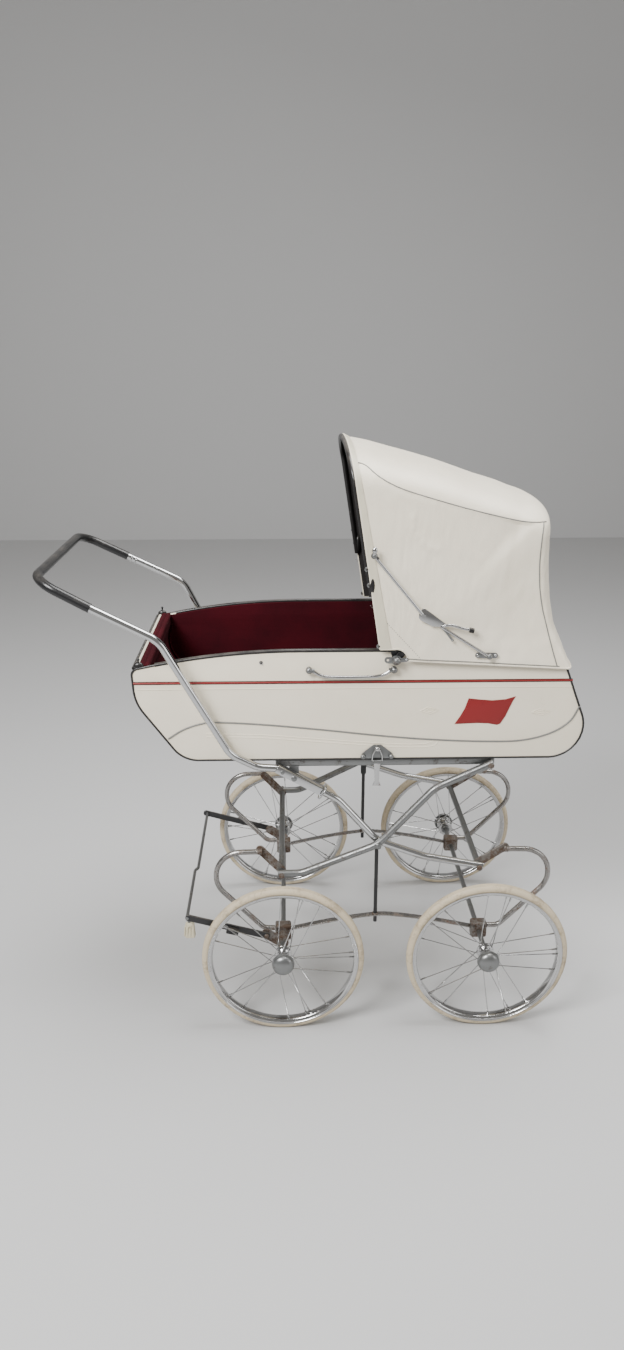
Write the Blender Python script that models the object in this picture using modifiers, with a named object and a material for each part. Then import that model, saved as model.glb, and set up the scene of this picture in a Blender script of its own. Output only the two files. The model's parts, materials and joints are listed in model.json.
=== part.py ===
"""A coach-built baby pram: steel-sprung chassis, hard-sided cot and folding hood, all sizes in metres.

+X is the way the pram is pushed, +Y its left side, +Z up. Sizes are measured from the point on the
ground midway between the axles; an empty moves the whole pram so that the origin ends up under the
middle of its outline.
"""

import math

import bmesh
import bpy
from mathutils import Matrix, Vector

PRAM_NAME = "baby_pram"
ORIGIN_SHIFT = 0.1394  # from the axles' midpoint to the middle of the whole outline
GAP = 0.0003  # between pieces that touch
RUNNING = 0.0004  # round a pin that turns or slides

WHEEL_BASE_HALF = 0.208
TRACK_HALF = 0.2817
TYRE_RADIUS = 0.165
WHEEL_STEPS = 24
TYRE_HALF_WIDTH = 0.0100
RIM_HALF_WIDTH = 0.0118
RIM_BED_RADIUS = 0.1480
RIM_INNER_RADIUS = 0.1440
HUB_FLANGE_RADIUS = 0.0175
HUB_HALF_WIDTH = 0.0180
SPOKES_PER_FLANGE = 10
SPOKE_RADIUS = 0.0011
SPOKE_PHASE = 0.11
AXLE_RADIUS = 0.0055
AXLE_END = 0.3040

SIDE_Y = 0.1850  # plane of the guide posts and tie strips
SPRING_Y = 0.1915
ARM_Y = 0.1975
RAIL_Y = 0.1815
RAIL_Z = 0.5564
RAIL_SIZE = (0.4400, 0.0120, 0.0160)
SPRING_RADIUS = 0.0055
SPRING_FOOT_Z = 0.1780
ARM_RADIUS = 0.0075
TUBE_Z = {-1: 0.3120, 1: 0.3240}
TUBE_X = {-1: -0.2100, 1: 0.1990}
CROSS_TUBE_RADIUS = 0.0065
CROSSING = (-0.0130, 0.3840)
POST_RADIUS = 0.0040
POST_FOOT_Z = 0.1870
STRIP_APEX_Z = 0.2050

FOLD_PIVOT = (-0.1830, 0.5310)
FOLD_SLOPE = math.radians(30)  # the upper frame arm's slope below the horizontal
CHANNEL_REACH = 0.0660
HANDLE_RADIUS = 0.0080
GRIP_RADIUS = 0.0096
RING_RADIUS = 0.0160
RING_WIRE = 0.0015

COT_HALF_WIDTH = 0.1950
COT_WALL = 0.0080
COT_FLOOR_Z = 0.5675
RIM_Z = 0.7930
RIM_FLAT = (-0.1700, 0.0500)
RIM_DROP = 0.3470  # the rim falls by this times the square of the distance past its flat stretch
LINER_THICKNESS = 0.0040
MATTRESS_TOP = 0.6220

HOOD_PIVOT = (0.0140, 0.7770)
HOOD_CLOTH = 0.0025
HOOD_SIDE_Y = 0.2055
HOOD_LEAN = 0.0130
STAY_TOP = (-0.0330, 0.9810)
STAY_FOOT = (0.1870, 0.7860)
STAY_ELBOW = (0.0620, 0.8660)
BRAKE_PIVOT = (-0.2420, 0.1880)

COLOURS = {
    "rubber_cream": ((0.72, 0.64, 0.46), 0.60, 0.0),
    "chrome": ((0.80, 0.80, 0.80), 0.18, 1.0),
    "grey_paint": ((0.30, 0.31, 0.31), 0.35, 0.6),
    "black_paint": ((0.02, 0.02, 0.02), 0.40, 0.0),
    "rusty_steel": ((0.26, 0.15, 0.09), 0.75, 0.4),
    "black_plastic": ((0.015, 0.015, 0.016), 0.35, 0.0),
    "cream_leathercloth": ((0.78, 0.74, 0.63), 0.42, 0.0),
    "burgundy_lining": ((0.19, 0.02, 0.03), 0.60, 0.0),
    "mattress_cotton": ((0.74, 0.70, 0.62), 0.85, 0.0),
}
SIDES = {"left": 1, "right": -1}
ENDS = {"rear": -1, "front": 1}


def clear_scene():
    for item in list(bpy.data.objects):
        bpy.data.objects.remove(item, do_unlink=True)


def collection(name):
    made = bpy.data.collections.new(name)
    bpy.context.scene.collection.children.link(made)
    return made


clear_scene()
parts = collection(PRAM_NAME)
cutters = collection(PRAM_NAME + "_cutters")
pram_origin = bpy.data.objects.new("pram_origin", None)
pram_origin.location.x = ORIGIN_SHIFT
parts.objects.link(pram_origin)


def material(name):
    found = bpy.data.materials.get(name)
    if found:
        return found
    colour, roughness, metallic = COLOURS[name]
    made = bpy.data.materials.new(name)
    made.use_nodes = True
    shader = made.node_tree.nodes["Principled BSDF"]
    shader.inputs["Base Color"].default_value = (*colour, 1.0)
    shader.inputs["Roughness"].default_value = roughness
    shader.inputs["Metallic"].default_value = metallic
    made.diffuse_color = (*colour, 1.0)
    return made


def new_object(name, data):
    made = bpy.data.objects.new(name, data)
    cutters.objects.link(made)
    made.parent = pram_origin
    made.hide_render = True
    made.display_type = "WIRE"
    return made


def mesh_object(name, work):
    mesh = bpy.data.meshes.new(name)
    work.to_mesh(mesh)
    work.free()
    return new_object(name, mesh)


def finish(shape, colour, axis_point=(0, 0, 0), smooth=35):
    """Turn a finished shape into a part, with its origin at axis_point."""
    cutters.objects.unlink(shape)
    parts.objects.link(shape)
    shape.hide_render = False
    shape.display_type = "TEXTURED"
    point = Vector(axis_point)
    shape.data.transform(Matrix.Translation(-point) @ shape.matrix_basis)
    shape.matrix_basis = Matrix.Translation(point)
    shape.data.materials.clear()
    shape.data.materials.append(material(colour))
    shape.data.shade_smooth()
    shape.data.set_sharp_from_angle(angle=math.radians(smooth))
    return shape


def combine(shape, tool, operation):
    modifier = shape.modifiers.new(operation.lower(), "BOOLEAN")
    modifier.operation = operation
    modifier.solver = "EXACT"
    modifier.object = tool
    return shape


def baked(shape):
    """The same shape as a plain mesh, its modifiers or curve worked out and its caps welded."""
    bpy.context.view_layer.update()
    graph = bpy.context.evaluated_depsgraph_get()
    mesh = bpy.data.meshes.new_from_object(shape.evaluated_get(graph), depsgraph=graph)
    work = bmesh.new()
    work.from_mesh(mesh)
    bmesh.ops.remove_doubles(work, verts=work.verts, dist=0.00002)
    work.to_mesh(mesh)
    work.free()
    name, basis = shape.name, shape.matrix_basis.copy()
    bpy.data.objects.remove(shape, do_unlink=True)
    made = new_object(name, mesh)
    made.matrix_basis = basis
    return made


def united(name, shapes):
    """One body out of shapes that overlap."""
    shapes[0].name = name
    base = shapes[0]
    for tool in shapes[1:]:
        combine(base, tool, "UNION")
    whole = baked(base)
    for tool in shapes[1:]:
        bpy.data.objects.remove(tool, do_unlink=True)
    whole.name = name
    return whole


def cut(shape, tools):
    """The shape with every tool's volume taken out."""
    name = shape.name
    for tool in tools:
        combine(shape, tool, "DIFFERENCE")
    whole = baked(shape)
    for tool in tools:
        bpy.data.objects.remove(tool, do_unlink=True)
    whole.name = name
    return whole


def box(name, size, place, turn=0.0):
    work = bmesh.new()
    bmesh.ops.create_cube(work, size=1.0)
    spin = Matrix.Rotation(turn, 4, "Y")
    bmesh.ops.transform(work, matrix=Matrix.Translation(place) @ spin @ Matrix.Diagonal((*size, 1)),
                        verts=work.verts)
    return mesh_object(name, work)


def rod(name, start, end, radius, sides=12):
    """A straight round bar between two points."""
    start, end = Vector(start), Vector(end)
    work = bmesh.new()
    bmesh.ops.create_cone(work, cap_ends=True, segments=sides, radius1=radius, radius2=radius,
                          depth=(end - start).length)
    aim = (end - start).to_track_quat("Z", "Y").to_matrix().to_4x4()
    bmesh.ops.transform(work, matrix=Matrix.Translation((start + end) / 2) @ aim, verts=work.verts)
    return mesh_object(name, work)


def ball(name, place, radius, sides=12):
    work = bmesh.new()
    bmesh.ops.create_uvsphere(work, u_segments=sides, v_segments=sides // 2 + 1, radius=radius)
    bmesh.ops.translate(work, verts=work.verts, vec=place)
    return mesh_object(name, work)


def turned(name, profile, place, closed=False, steps=24):
    """A profile of (radius, distance out along Y) turned about the Y axis through place."""
    mesh = bpy.data.meshes.new(name)
    points = [(radius, 0, along) for radius, along in profile]
    edges = [(i, i + 1) for i in range(len(points) - 1)]
    if closed:
        edges.append((len(points) - 1, 0))
    mesh.from_pydata(points, edges, [])
    shape = new_object(name, mesh)
    screw = shape.modifiers.new("turn", "SCREW")
    screw.axis = "Z"
    screw.angle = math.tau
    screw.steps = steps
    screw.render_steps = steps
    screw.use_merge_vertices = True
    screw.merge_threshold = 0.00001
    shape = baked(shape)
    shape.data.transform(Matrix.Translation(place) @ Matrix.Rotation(-math.pi / 2, 4, "X"))
    return shape


def turn_towards(first, last, share):
    """The unit vector a share of the way round from one to another."""
    whole = first.angle(last)
    return (first * math.sin(whole * (1 - share)) + last * math.sin(whole * share)) / math.sin(whole)


def rounded(corners, radii, steps=5):
    """The path through corners, with an arc of its own radius at each inner corner."""
    path = [Vector(corners[0])]
    for before, corner, after, radius in zip(corners, corners[1:], corners[2:], radii):
        corner = Vector(corner)
        back = (Vector(before) - corner).normalized()
        ahead = (Vector(after) - corner).normalized()
        half = back.angle(ahead) / 2
        centre = corner + (back + ahead).normalized() * (radius / math.sin(half))
        first = (corner + back * (radius / math.tan(half)) - centre).normalized()
        last = (corner + ahead * (radius / math.tan(half)) - centre).normalized()
        for step in range(steps + 1):
            path.append(centre + turn_towards(first, last, step / steps) * radius)
    path.append(Vector(corners[-1]))
    return path


def tube(name, path, radius, resolution=2):
    """A round bar bent along a path."""
    curve = bpy.data.curves.new(name, "CURVE")
    curve.dimensions = "3D"
    curve.bevel_depth = radius
    curve.bevel_resolution = resolution
    curve.use_fill_caps = True
    spline = curve.splines.new("POLY")
    spline.points.add(len(path) - 1)
    for point, place in zip(spline.points, path):
        point.co = (*place, 1)
    return baked(new_object(name, curve))


def plate(name, outline, low_y, high_y):
    """A flat piece: an outline of (x, z) points, as thick as from low_y to high_y."""
    curve = bpy.data.curves.new(name, "CURVE")
    curve.dimensions = "2D"
    curve.fill_mode = "BOTH"
    curve.extrude = (high_y - low_y) / 2
    spline = curve.splines.new("POLY")
    spline.points.add(len(outline) - 1)
    for point, place in zip(spline.points, outline):
        point.co = (place[0], place[1], 0, 1)
    spline.use_cyclic_u = True
    shape = new_object(name, curve)
    shape = baked(shape)
    middle = Vector((0, (low_y + high_y) / 2, 0))
    shape.data.transform(Matrix.Translation(middle) @ Matrix.Rotation(math.pi / 2, 4, "X"))
    return shape


def link_outline(start, end, radius, steps=6):
    """A bar outline with round ends about two points."""
    start, end = Vector(start), Vector(end)
    heading = math.atan2(end.y - start.y, end.x - start.x)
    outline = []
    for centre, first in ((end, heading - math.pi / 2), (start, heading + math.pi / 2)):
        for step in range(steps + 1):
            angle = first + math.pi * step / steps
            outline.append((centre.x + radius * math.cos(angle), centre.y + radius * math.sin(angle)))
    return outline


def pin(name, place, low_y, high_y, radius, sides=12):
    return rod(name, (place[0], low_y, place[1]), (place[0], high_y, place[1]), radius, sides)


def wheel(end, side):
    """Tyre, spoked rim and hub cap, all turning about the axle."""
    label = f"{end}_{side}"
    out = SIDES[side]
    place = (ENDS[end] * WHEEL_BASE_HALF, out * TRACK_HALF, TYRE_RADIUS)
    crown = TYRE_HALF_WIDTH * 0.55
    seat = RIM_BED_RADIUS + GAP
    tyre = turned(f"tyre_{label}", [
        (seat, TYRE_HALF_WIDTH * 0.90),
        (TYRE_RADIUS - 0.0045, TYRE_HALF_WIDTH),
        (TYRE_RADIUS, crown),
        (TYRE_RADIUS, -crown),
        (TYRE_RADIUS - 0.0045, -TYRE_HALF_WIDTH),
        (seat, -TYRE_HALF_WIDTH * 0.90),
    ], place, closed=True, steps=WHEEL_STEPS)
    finish(tyre, "rubber_cream", place)
    lip = RIM_BED_RADIUS + 0.0050
    rim = turned(f"rim_{label}", [
        (RIM_BED_RADIUS, TYRE_HALF_WIDTH + 0.0006),
        (lip, TYRE_HALF_WIDTH + 0.0008),
        (lip, RIM_HALF_WIDTH),
        (RIM_INNER_RADIUS, RIM_HALF_WIDTH - 0.0030),
        (RIM_INNER_RADIUS, 0.0030 - RIM_HALF_WIDTH),
        (lip, -RIM_HALF_WIDTH),
        (lip, -TYRE_HALF_WIDTH - 0.0008),
        (RIM_BED_RADIUS, -TYRE_HALF_WIDTH - 0.0006),
    ][::-1], place, closed=True, steps=WHEEL_STEPS)
    bore = AXLE_RADIUS + RUNNING
    flange_y = HUB_HALF_WIDTH - 0.0030
    hub = turned(f"hub_{label}", [
        (bore, HUB_HALF_WIDTH),
        (HUB_FLANGE_RADIUS, HUB_HALF_WIDTH),
        (HUB_FLANGE_RADIUS, flange_y),
        (0.0100, flange_y - 0.0030),
        (0.0100, 0.0030 - flange_y),
        (HUB_FLANGE_RADIUS, -flange_y),
        (HUB_FLANGE_RADIUS, -HUB_HALF_WIDTH),
        (bore, -HUB_HALF_WIDTH),
    ], place, closed=True, steps=14)
    spokes = []
    for flange in (-1, 1):
        for number in range(SPOKES_PER_FLANGE):
            angle = math.tau * (number + 0.5 * (flange > 0)) / SPOKES_PER_FLANGE + SPOKE_PHASE
            lean = math.radians(62) * (1 if number % 2 else -1)
            hub_y = flange * (flange_y + (0.0020 if number % 2 else 0.0004))
            start = Vector((math.cos(angle) * 0.0140, hub_y, math.sin(angle) * 0.0140))
            tip = angle + lean * 0.75
            end_point = Vector((math.cos(tip), 0, math.sin(tip))) * (RIM_INNER_RADIUS + 0.0020)
            end_point.y = flange * 0.0030
            spokes.append(rod("spoke", start + Vector(place), end_point + Vector(place),
                              SPOKE_RADIUS, 4))
    rim = united(f"rim_{label}", [rim, hub, *spokes])
    finish(rim, "chrome", place)
    dome = 0.0220
    outer = HUB_HALF_WIDTH + GAP
    dome_arc = [(dome * math.cos(t), outer + 0.0050 + 0.0130 * math.sin(t))
                for t in (math.pi / 2 * step / 5 for step in range(6))]
    cap = turned(f"hub_cap_{label}", [
        (0, outer + 0.0180),
        *dome_arc[-2::-1],
        (dome, outer),
        (dome - 0.0040, outer),
        (dome - 0.0040, outer + 0.0060),
        (0, outer + 0.0120),
    ], (0, 0, 0), steps=14)
    if out < 0:
        cap.data.transform(Matrix.Rotation(math.pi, 4, "Z"))
    cap.data.transform(Matrix.Translation(place))
    finish(cap, "chrome", place)


def axle(end):
    """One steel rod right across, with a collar inside each wheel."""
    collar_y = TRACK_HALF - HUB_HALF_WIDTH - GAP
    half = [(0, AXLE_END), (AXLE_RADIUS, AXLE_END), (AXLE_RADIUS, collar_y), (0.0100, collar_y),
            (0.0100, collar_y - 0.0050), (AXLE_RADIUS, collar_y - 0.0050)]
    profile = half + [(radius, -along) for radius, along in reversed(half)]
    place = (ENDS[end] * WHEEL_BASE_HALF, 0, TYRE_RADIUS)
    finish(turned(f"axle_{end}", profile, place, steps=16), "grey_paint")


def axle_bracket(end, side):
    """Saddle that ties the axle, the spring's foot and the tie strip together."""
    x = ENDS[end] * WHEEL_BASE_HALF
    out = SIDES[side]
    saddle = box("saddle", (0.0340, 0.0240, 0.0360), (x, out * 0.1860, 0.1680))
    pieces = [saddle]
    if end == "rear":
        sleeve = pin("sleeve", (x, TYRE_RADIUS), out * 0.1900, out * 0.2290, 0.0110, 16)
        lug = plate("lug", link_outline((x, TYRE_RADIUS), BRAKE_PIVOT, 0.0115),
                    *sorted((out * 0.2265, out * 0.2300)))
        stud = pin("stud", BRAKE_PIVOT, out * 0.2280, out * 0.2410, 0.0030)
        pieces += [sleeve, lug, stud]
    name = f"axle_bracket_{end}_{side}"
    if len(pieces) > 1:
        saddle = united(name, pieces)
    saddle.name = name
    bore = pin("bore", (x, TYRE_RADIUS), out * 0.1600, out * 0.2500, AXLE_RADIUS + GAP, 16)
    finish(cut(saddle, [bore]), "rusty_steel")


def tie_strip(side):
    """Bowed strip from axle to axle; the guide post slides in the hole at its top."""
    y = SIDES[side] * SIDE_Y
    end_x = WHEEL_BASE_HALF - 0.0170 - GAP
    rise = STRIP_APEX_Z - 0.1720
    stations = [end_x * (1 - step / 10) for step in range(21)]

    def height(x):
        return 0.1720 + rise * (1 - (abs(x) / end_x) ** 1.4)

    top = [(x, height(x) + 0.0015) for x in stations]
    bottom = [(x, height(x) - 0.0015) for x in reversed(stations)]
    strip = plate(f"tie_strip_{side}", top + bottom, y - 0.0070, y + 0.0070)
    hole = rod("hole", (CROSSING[0], y, 0.15), (CROSSING[0], y, 0.25), POST_RADIUS + RUNNING, 16)
    finish(cut(strip, [hole]), "rusty_steel")


def c_spring(end, side):
    """Round spring bar from the axle bracket out, up and back over to the shackle."""
    sign = ENDS[end]
    y = SIDES[side] * SPRING_Y
    corners = [(0.2254, SPRING_FOOT_Z), (0.2480, SPRING_FOOT_Z), (0.3470, 0.2820), (0.3430, 0.3580),
               (0.2500, 0.3600)]
    path = rounded([(sign * x, y, z) for x, z in corners], [0.022, 0.055, 0.054], steps=6)
    finish(tube(f"c_spring_{end}_{side}", path, SPRING_RADIUS, 1), "rusty_steel")


def cross_tube(end):
    """Tube across the frame, with a shackle plate to each spring and a stud in each frame arm."""
    sign = ENDS[end]
    centre = (TUBE_X[sign], TUBE_Z[sign])
    pieces = [pin("tube", centre, -0.1885, 0.1885, CROSS_TUBE_RADIUS, 16)]
    for out in (-1, 1):
        spring_eye = (sign * 0.2540, 0.3600)
        pieces.append(plate("shackle", link_outline(centre, spring_eye, 0.0090),
                            *sorted((out * 0.1805, out * 0.1855))))
        pieces.append(pin("stud", centre, out * 0.1860, out * 0.2085, 0.0035))
        pieces.append(pin("nut", centre, out * 0.2055, out * 0.2095, 0.0065, 6))
    finish(united(f"cross_tube_{end}", pieces), "grey_paint")


def frame_arm(front_foot, side):
    """Crossed arms: one carries the push handle, the other the cot rail's front end."""
    out = SIDES[side]
    if front_foot:
        corners = [(*FOLD_PIVOT, ARM_Y), (-0.0950, 0.4800, ARM_Y), (*CROSSING, ARM_Y - 0.0030),
                   (0.0850, 0.3480, ARM_Y), (TUBE_X[1] + 0.0080, TUBE_Z[1], ARM_Y)]
        radii = [0.070, 0.060, 0.120]
        holes = [FOLD_PIVOT, CROSSING, (TUBE_X[1], TUBE_Z[1])]
        name, colour = f"frame_arm_handle_{side}", "chrome"
    else:
        corners = [(0.2150, 0.5570, ARM_Y), (0.1000, 0.5050, ARM_Y + 0.0040), (*CROSSING, ARM_Y + 0.0132),
                   (-0.1700, 0.3120, ARM_Y), (TUBE_X[-1] - 0.0080, TUBE_Z[-1], ARM_Y)]
        radii = [0.080, 0.090, 0.060]
        holes = [(0.2090, 0.5545), CROSSING, (TUBE_X[-1], TUBE_Z[-1])]
        name, colour = f"frame_arm_rail_{side}", "grey_paint"
    path = rounded([(x, out * y, z) for x, z, y in corners], radii)
    arm = tube(name, path, ARM_RADIUS)
    if front_foot:
        arm = united(name, [arm, ball("tail", (FOLD_PIVOT[0], out * ARM_Y, FOLD_PIVOT[1]), ARM_RADIUS)])
    bores = [pin("bore", hole, out * 0.1800, out * 0.2300, 0.0035 + RUNNING) for hole in holes]
    finish(cut(arm, bores), colour)


def guide_post(side):
    """Post hung from the arms' crossing pin; it slides in the tie strip as the springs give."""
    out = SIDES[side]
    y = out * SIDE_Y
    post = rod("post", (CROSSING[0], y, POST_FOOT_Z), (CROSSING[0], y, CROSSING[1] - 0.0080), POST_RADIUS)
    tab = plate("tab", link_outline((CROSSING[0], CROSSING[1] - 0.0200), CROSSING, 0.0065),
                *sorted((out * 0.1820, out * 0.1862)))
    crossing_pin = pin("pin", CROSSING, out * 0.1830, out * 0.2215, 0.0035)
    head = pin("head", CROSSING, out * 0.2190, out * 0.2235, 0.0065)
    finish(united(f"guide_post_{side}", [post, tab, crossing_pin, head]), "black_paint")


def cot_rail(side):
    """Bar the cot stands on, pinned to the front arm and, by its lug, to the handle's pivot."""
    out = SIDES[side]
    bar = box("bar", RAIL_SIZE, (0.0000, out * RAIL_Y, RAIL_Z))
    lug = plate("lug", link_outline((FOLD_PIVOT[0], RAIL_Z - 0.0030), FOLD_PIVOT, 0.0100),
                *sorted((out * 0.1765, out * 0.1865)))
    stud = pin("stud", (0.2090, 0.5545), out * 0.1860, out * 0.2085, 0.0035)
    nut = pin("nut", (0.2090, 0.5545), out * 0.2055, out * 0.2095, 0.0065, 6)
    rail = united(f"cot_rail_{side}", [bar, lug, stud, nut])
    bore = pin("bore", FOLD_PIVOT, out * 0.1700, out * 0.1950, 0.0035 + RUNNING)
    finish(cut(rail, [bore]), "grey_paint")


def handle_channel(side):
    """Channel, open underneath, that holds the handle's end and turns on the frame arm's pin."""
    out = SIDES[side]
    inner = ARM_RADIUS + 0.0006
    outer = inner + 0.0014
    length = CHANNEL_REACH + 0.0400
    along = Vector((math.cos(FOLD_SLOPE), 0, -math.sin(FOLD_SLOPE)))
    up = Vector((math.sin(FOLD_SLOPE), 0, math.cos(FOLD_SLOPE)))
    pivot = Vector((FOLD_PIVOT[0], out * ARM_Y, FOLD_PIVOT[1]))
    middle = pivot + along * (CHANNEL_REACH - 0.0400) / 2
    block = box("block", (length, 2 * outer, 2 * outer - 0.0020), middle + up * 0.0010, FOLD_SLOPE)
    slot = box("slot", (length + 0.01, 2 * inner, 0.0300), middle + up * (inner - 0.0150), FOLD_SLOPE)
    hollow = cut(block, [slot])
    rivet = pin("rivet", FOLD_PIVOT, out * 0.1735, out * 0.2100, 0.0035)
    head = pin("head", FOLD_PIVOT, out * 0.2062, out * 0.2105, 0.0060)
    finish(united(f"handle_channel_{side}", [hollow, rivet, head]), "chrome",
           (FOLD_PIVOT[0], 0, FOLD_PIVOT[1]))


def handle_path():
    """The push handle's centre line, from the left channel round to the right one."""
    tail = 0.0100
    back = Vector((-math.cos(FOLD_SLOPE), 0, math.sin(FOLD_SLOPE)))
    mouth = Vector((FOLD_PIVOT[0], 0, FOLD_PIVOT[1])) + back * tail
    exit_point = mouth + back * 0.0270
    side = [(mouth.x, ARM_Y, mouth.z), (exit_point.x, ARM_Y, exit_point.z), (-0.2550, 0.2000, 0.5535),
            (-0.3080, 0.2090, 0.5850), (-0.4340, 0.2360, 0.8280), (-0.5600, 0.2300, 0.8910),
            (-0.6590, 0.2200, 0.9420)]
    radii = [0.040, 0.050, 0.060, 0.060, 0.150, 0.050]
    corners = side + [(x, -y, z) for x, y, z in reversed(side)]
    return rounded(corners, radii + radii[::-1], steps=4)


def push_handle():
    pivot = (FOLD_PIVOT[0], 0, FOLD_PIVOT[1])
    path = handle_path()
    finish(tube("push_handle", path, HANDLE_RADIUS - 0.0004), "chrome", pivot)
    covered = [point for point in path if point.x < -0.5500]
    sleeve = tube("handle_grip", covered, GRIP_RADIUS)
    ends = [covered[0] * 2 - covered[1], covered[-1] * 2 - covered[-2]]
    core = tube("core", [ends[0], *covered, ends[1]], HANDLE_RADIUS + 0.0006)
    finish(cut(sleeve, [core]), "black_plastic", pivot)


def lock_ring(side):
    """Wire ring that slides along the arm off the channel's mouth to free the handle."""
    reach = CHANNEL_REACH - 0.0005
    centre = (FOLD_PIVOT[0] + reach * math.cos(FOLD_SLOPE), SIDES[side] * ARM_Y,
              FOLD_PIVOT[1] - reach * math.sin(FOLD_SLOPE))
    profile = [(RING_RADIUS + RING_WIRE * math.cos(t), RING_WIRE * math.sin(t))
               for t in (math.tau * (0.5 - step) / 6 for step in range(6))]
    ring = turned(f"lock_ring_{side}", profile, (0, 0, 0), closed=True, steps=18)
    aim = Matrix.Rotation(FOLD_SLOPE, 4, "Y") @ Matrix.Rotation(math.pi / 2, 4, "Z")
    ring.data.transform(Matrix.Translation(centre) @ aim)
    finish(ring, "chrome", centre)


def brake_bar():
    """Bar across behind the wheels, on two arms that turn on the brackets' studs."""
    cross = (-0.4050, 0.2330)
    jog = 0.0060
    bend = rounded([(cross[0], -0.2385, cross[1]), (cross[0], -0.0450, cross[1]),
                    (cross[0] + jog, -0.0350, cross[1]), (cross[0] + jog, 0.2385, cross[1])],
                   [0.010, 0.010], steps=2)
    pieces = [tube("bar", bend, 0.0035, 1)]
    holes = []
    for out in (-1, 1):
        arm = plate("arm", link_outline(BRAKE_PIVOT, (cross[0] + jog / 2, cross[1]), 0.0070),
                    *sorted((out * 0.2325, out * 0.2375)))
        shoe = box("shoe", (0.0260, 0.0180, 0.0100), (-0.3120, out * 0.2430, 0.2060), 0.27)
        pieces += [arm, shoe]
        holes.append(pin("hole", BRAKE_PIVOT, out * 0.2200, out * 0.2500, 0.0030 + RUNNING))
    stem = rod("stem", (cross[0], -0.2180, cross[1]), (cross[0] + 0.0020, -0.2200, 0.2130), 0.0035)
    pieces.append(stem)
    bar = united("brake_bar", pieces)
    finish(cut(bar, holes), "grey_paint", (BRAKE_PIVOT[0], 0, BRAKE_PIVOT[1]))
    pedal = plate("brake_pedal", rounded_loop(((-0.4110, 0.2125), (-0.3930, 0.2125), (-0.3900, 0.1760),
                                               (-0.4140, 0.1760)), 0.0060), -0.2250, -0.2130)
    finish(pedal, "rubber_cream", (BRAKE_PIVOT[0], 0, BRAKE_PIVOT[1]))


def rounded_loop(corners, radius):
    """A closed outline with every corner rounded alike."""
    loop = [corners[-1], *corners, corners[0]]
    return rounded(loop, [radius] * len(corners), steps=4)[1:-1]


def rim_height(x):
    past = max(RIM_FLAT[0] - x, 0, x - RIM_FLAT[1])
    return RIM_Z - RIM_DROP * past ** 2


def inset_path(corners, distance):
    """An open path's corners, moved inwards by a distance."""
    moved = []
    points = [Vector(corner) for corner in corners]
    for number, point in enumerate(points):
        normals = []
        for first, second in ((number - 1, number), (number, number + 1)):
            if 0 <= first and second < len(points):
                run = (points[second] - points[first]).normalized()
                normals.append(Vector((run.y, -run.x)))
        mean = sum(normals, Vector((0, 0))).normalized()
        moved.append(point + mean * (distance / mean.dot(normals[0])))
    return moved


def rim_to(path, drop):
    """Close a path below the rim with the rim's own curve, a little below the top edge."""
    path[0].y = rim_height(path[0].x) - drop
    path[-1].y = rim_height(path[-1].x) - drop
    start, end = path[-1].x, path[0].x
    steps = 18
    rim = [start + (end - start) * step / steps for step in range(1, steps)]
    return path + [Vector((x, rim_height(x) - drop)) for x in rim]


SHELL_CORNERS = ((0.3440, 0.7600), (0.4205, COT_FLOOR_Z), (-0.4020, COT_FLOOR_Z), (-0.4905, 0.6900),
                 (-0.4945, 0.7570), (-0.4640, 0.7630))
SHELL_RADII = (0.066, 0.060, 0.090, 0.015)
CAVITY_CORNERS = ((0.3350, 0.8000), (0.3350, 0.7630), (0.4090, COT_FLOOR_Z + 0.0090),
                  (-0.3980, COT_FLOOR_Z + 0.0090), (-0.4810, 0.6900), (-0.4660, 0.7420), (-0.4660, 0.8000))
CAVITY_RADII = (0.020, 0.058, 0.052, 0.080, 0.020)


def cot_shell():
    outline = rim_to(rounded(SHELL_CORNERS, SHELL_RADII), 0)
    shell = plate("cot_shell", outline, -COT_HALF_WIDTH, COT_HALF_WIDTH)
    inside = COT_HALF_WIDTH - COT_WALL
    cavity = plate("cavity", rounded(CAVITY_CORNERS, CAVITY_RADII), -inside, inside)
    bores = []
    for out in (-1, 1):
        bores.append(pin("bore", STAY_FOOT, out * (COT_HALF_WIDTH - 0.0060), out * 0.2100,
                         0.0025 + RUNNING))
    finish(cut(shell, [cavity, *bores]), "cream_leathercloth")


def cot_liner():
    radii = [radius - GAP for radius in CAVITY_RADII]
    outline = rim_to(rounded(inset_path(CAVITY_CORNERS, GAP), radii), 0.0020)
    inside = COT_HALF_WIDTH - COT_WALL - GAP
    liner = plate("cot_liner", outline, -inside, inside)
    radii = [radius - LINER_THICKNESS for radius in radii]
    hollow_outline = rounded(inset_path(CAVITY_CORNERS, GAP + LINER_THICKNESS), radii)
    hollow = plate("hollow", hollow_outline, LINER_THICKNESS - inside, inside - LINER_THICKNESS)
    finish(cut(liner, [hollow]), "burgundy_lining")


def mattress():
    base = COT_FLOOR_Z + 0.0090 + GAP + LINER_THICKNESS + 0.0012
    low, high = -0.3560, 0.3280
    size = (high - low, 0.3560, MATTRESS_TOP - base)
    pad = box("mattress", size, ((low + high) / 2, 0, (base + MATTRESS_TOP) / 2))
    bevel = pad.modifiers.new("soft edge", "BEVEL")
    bevel.width = 0.0150
    bevel.segments = 3
    finish(baked(pad), "mattress_cotton")


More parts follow.
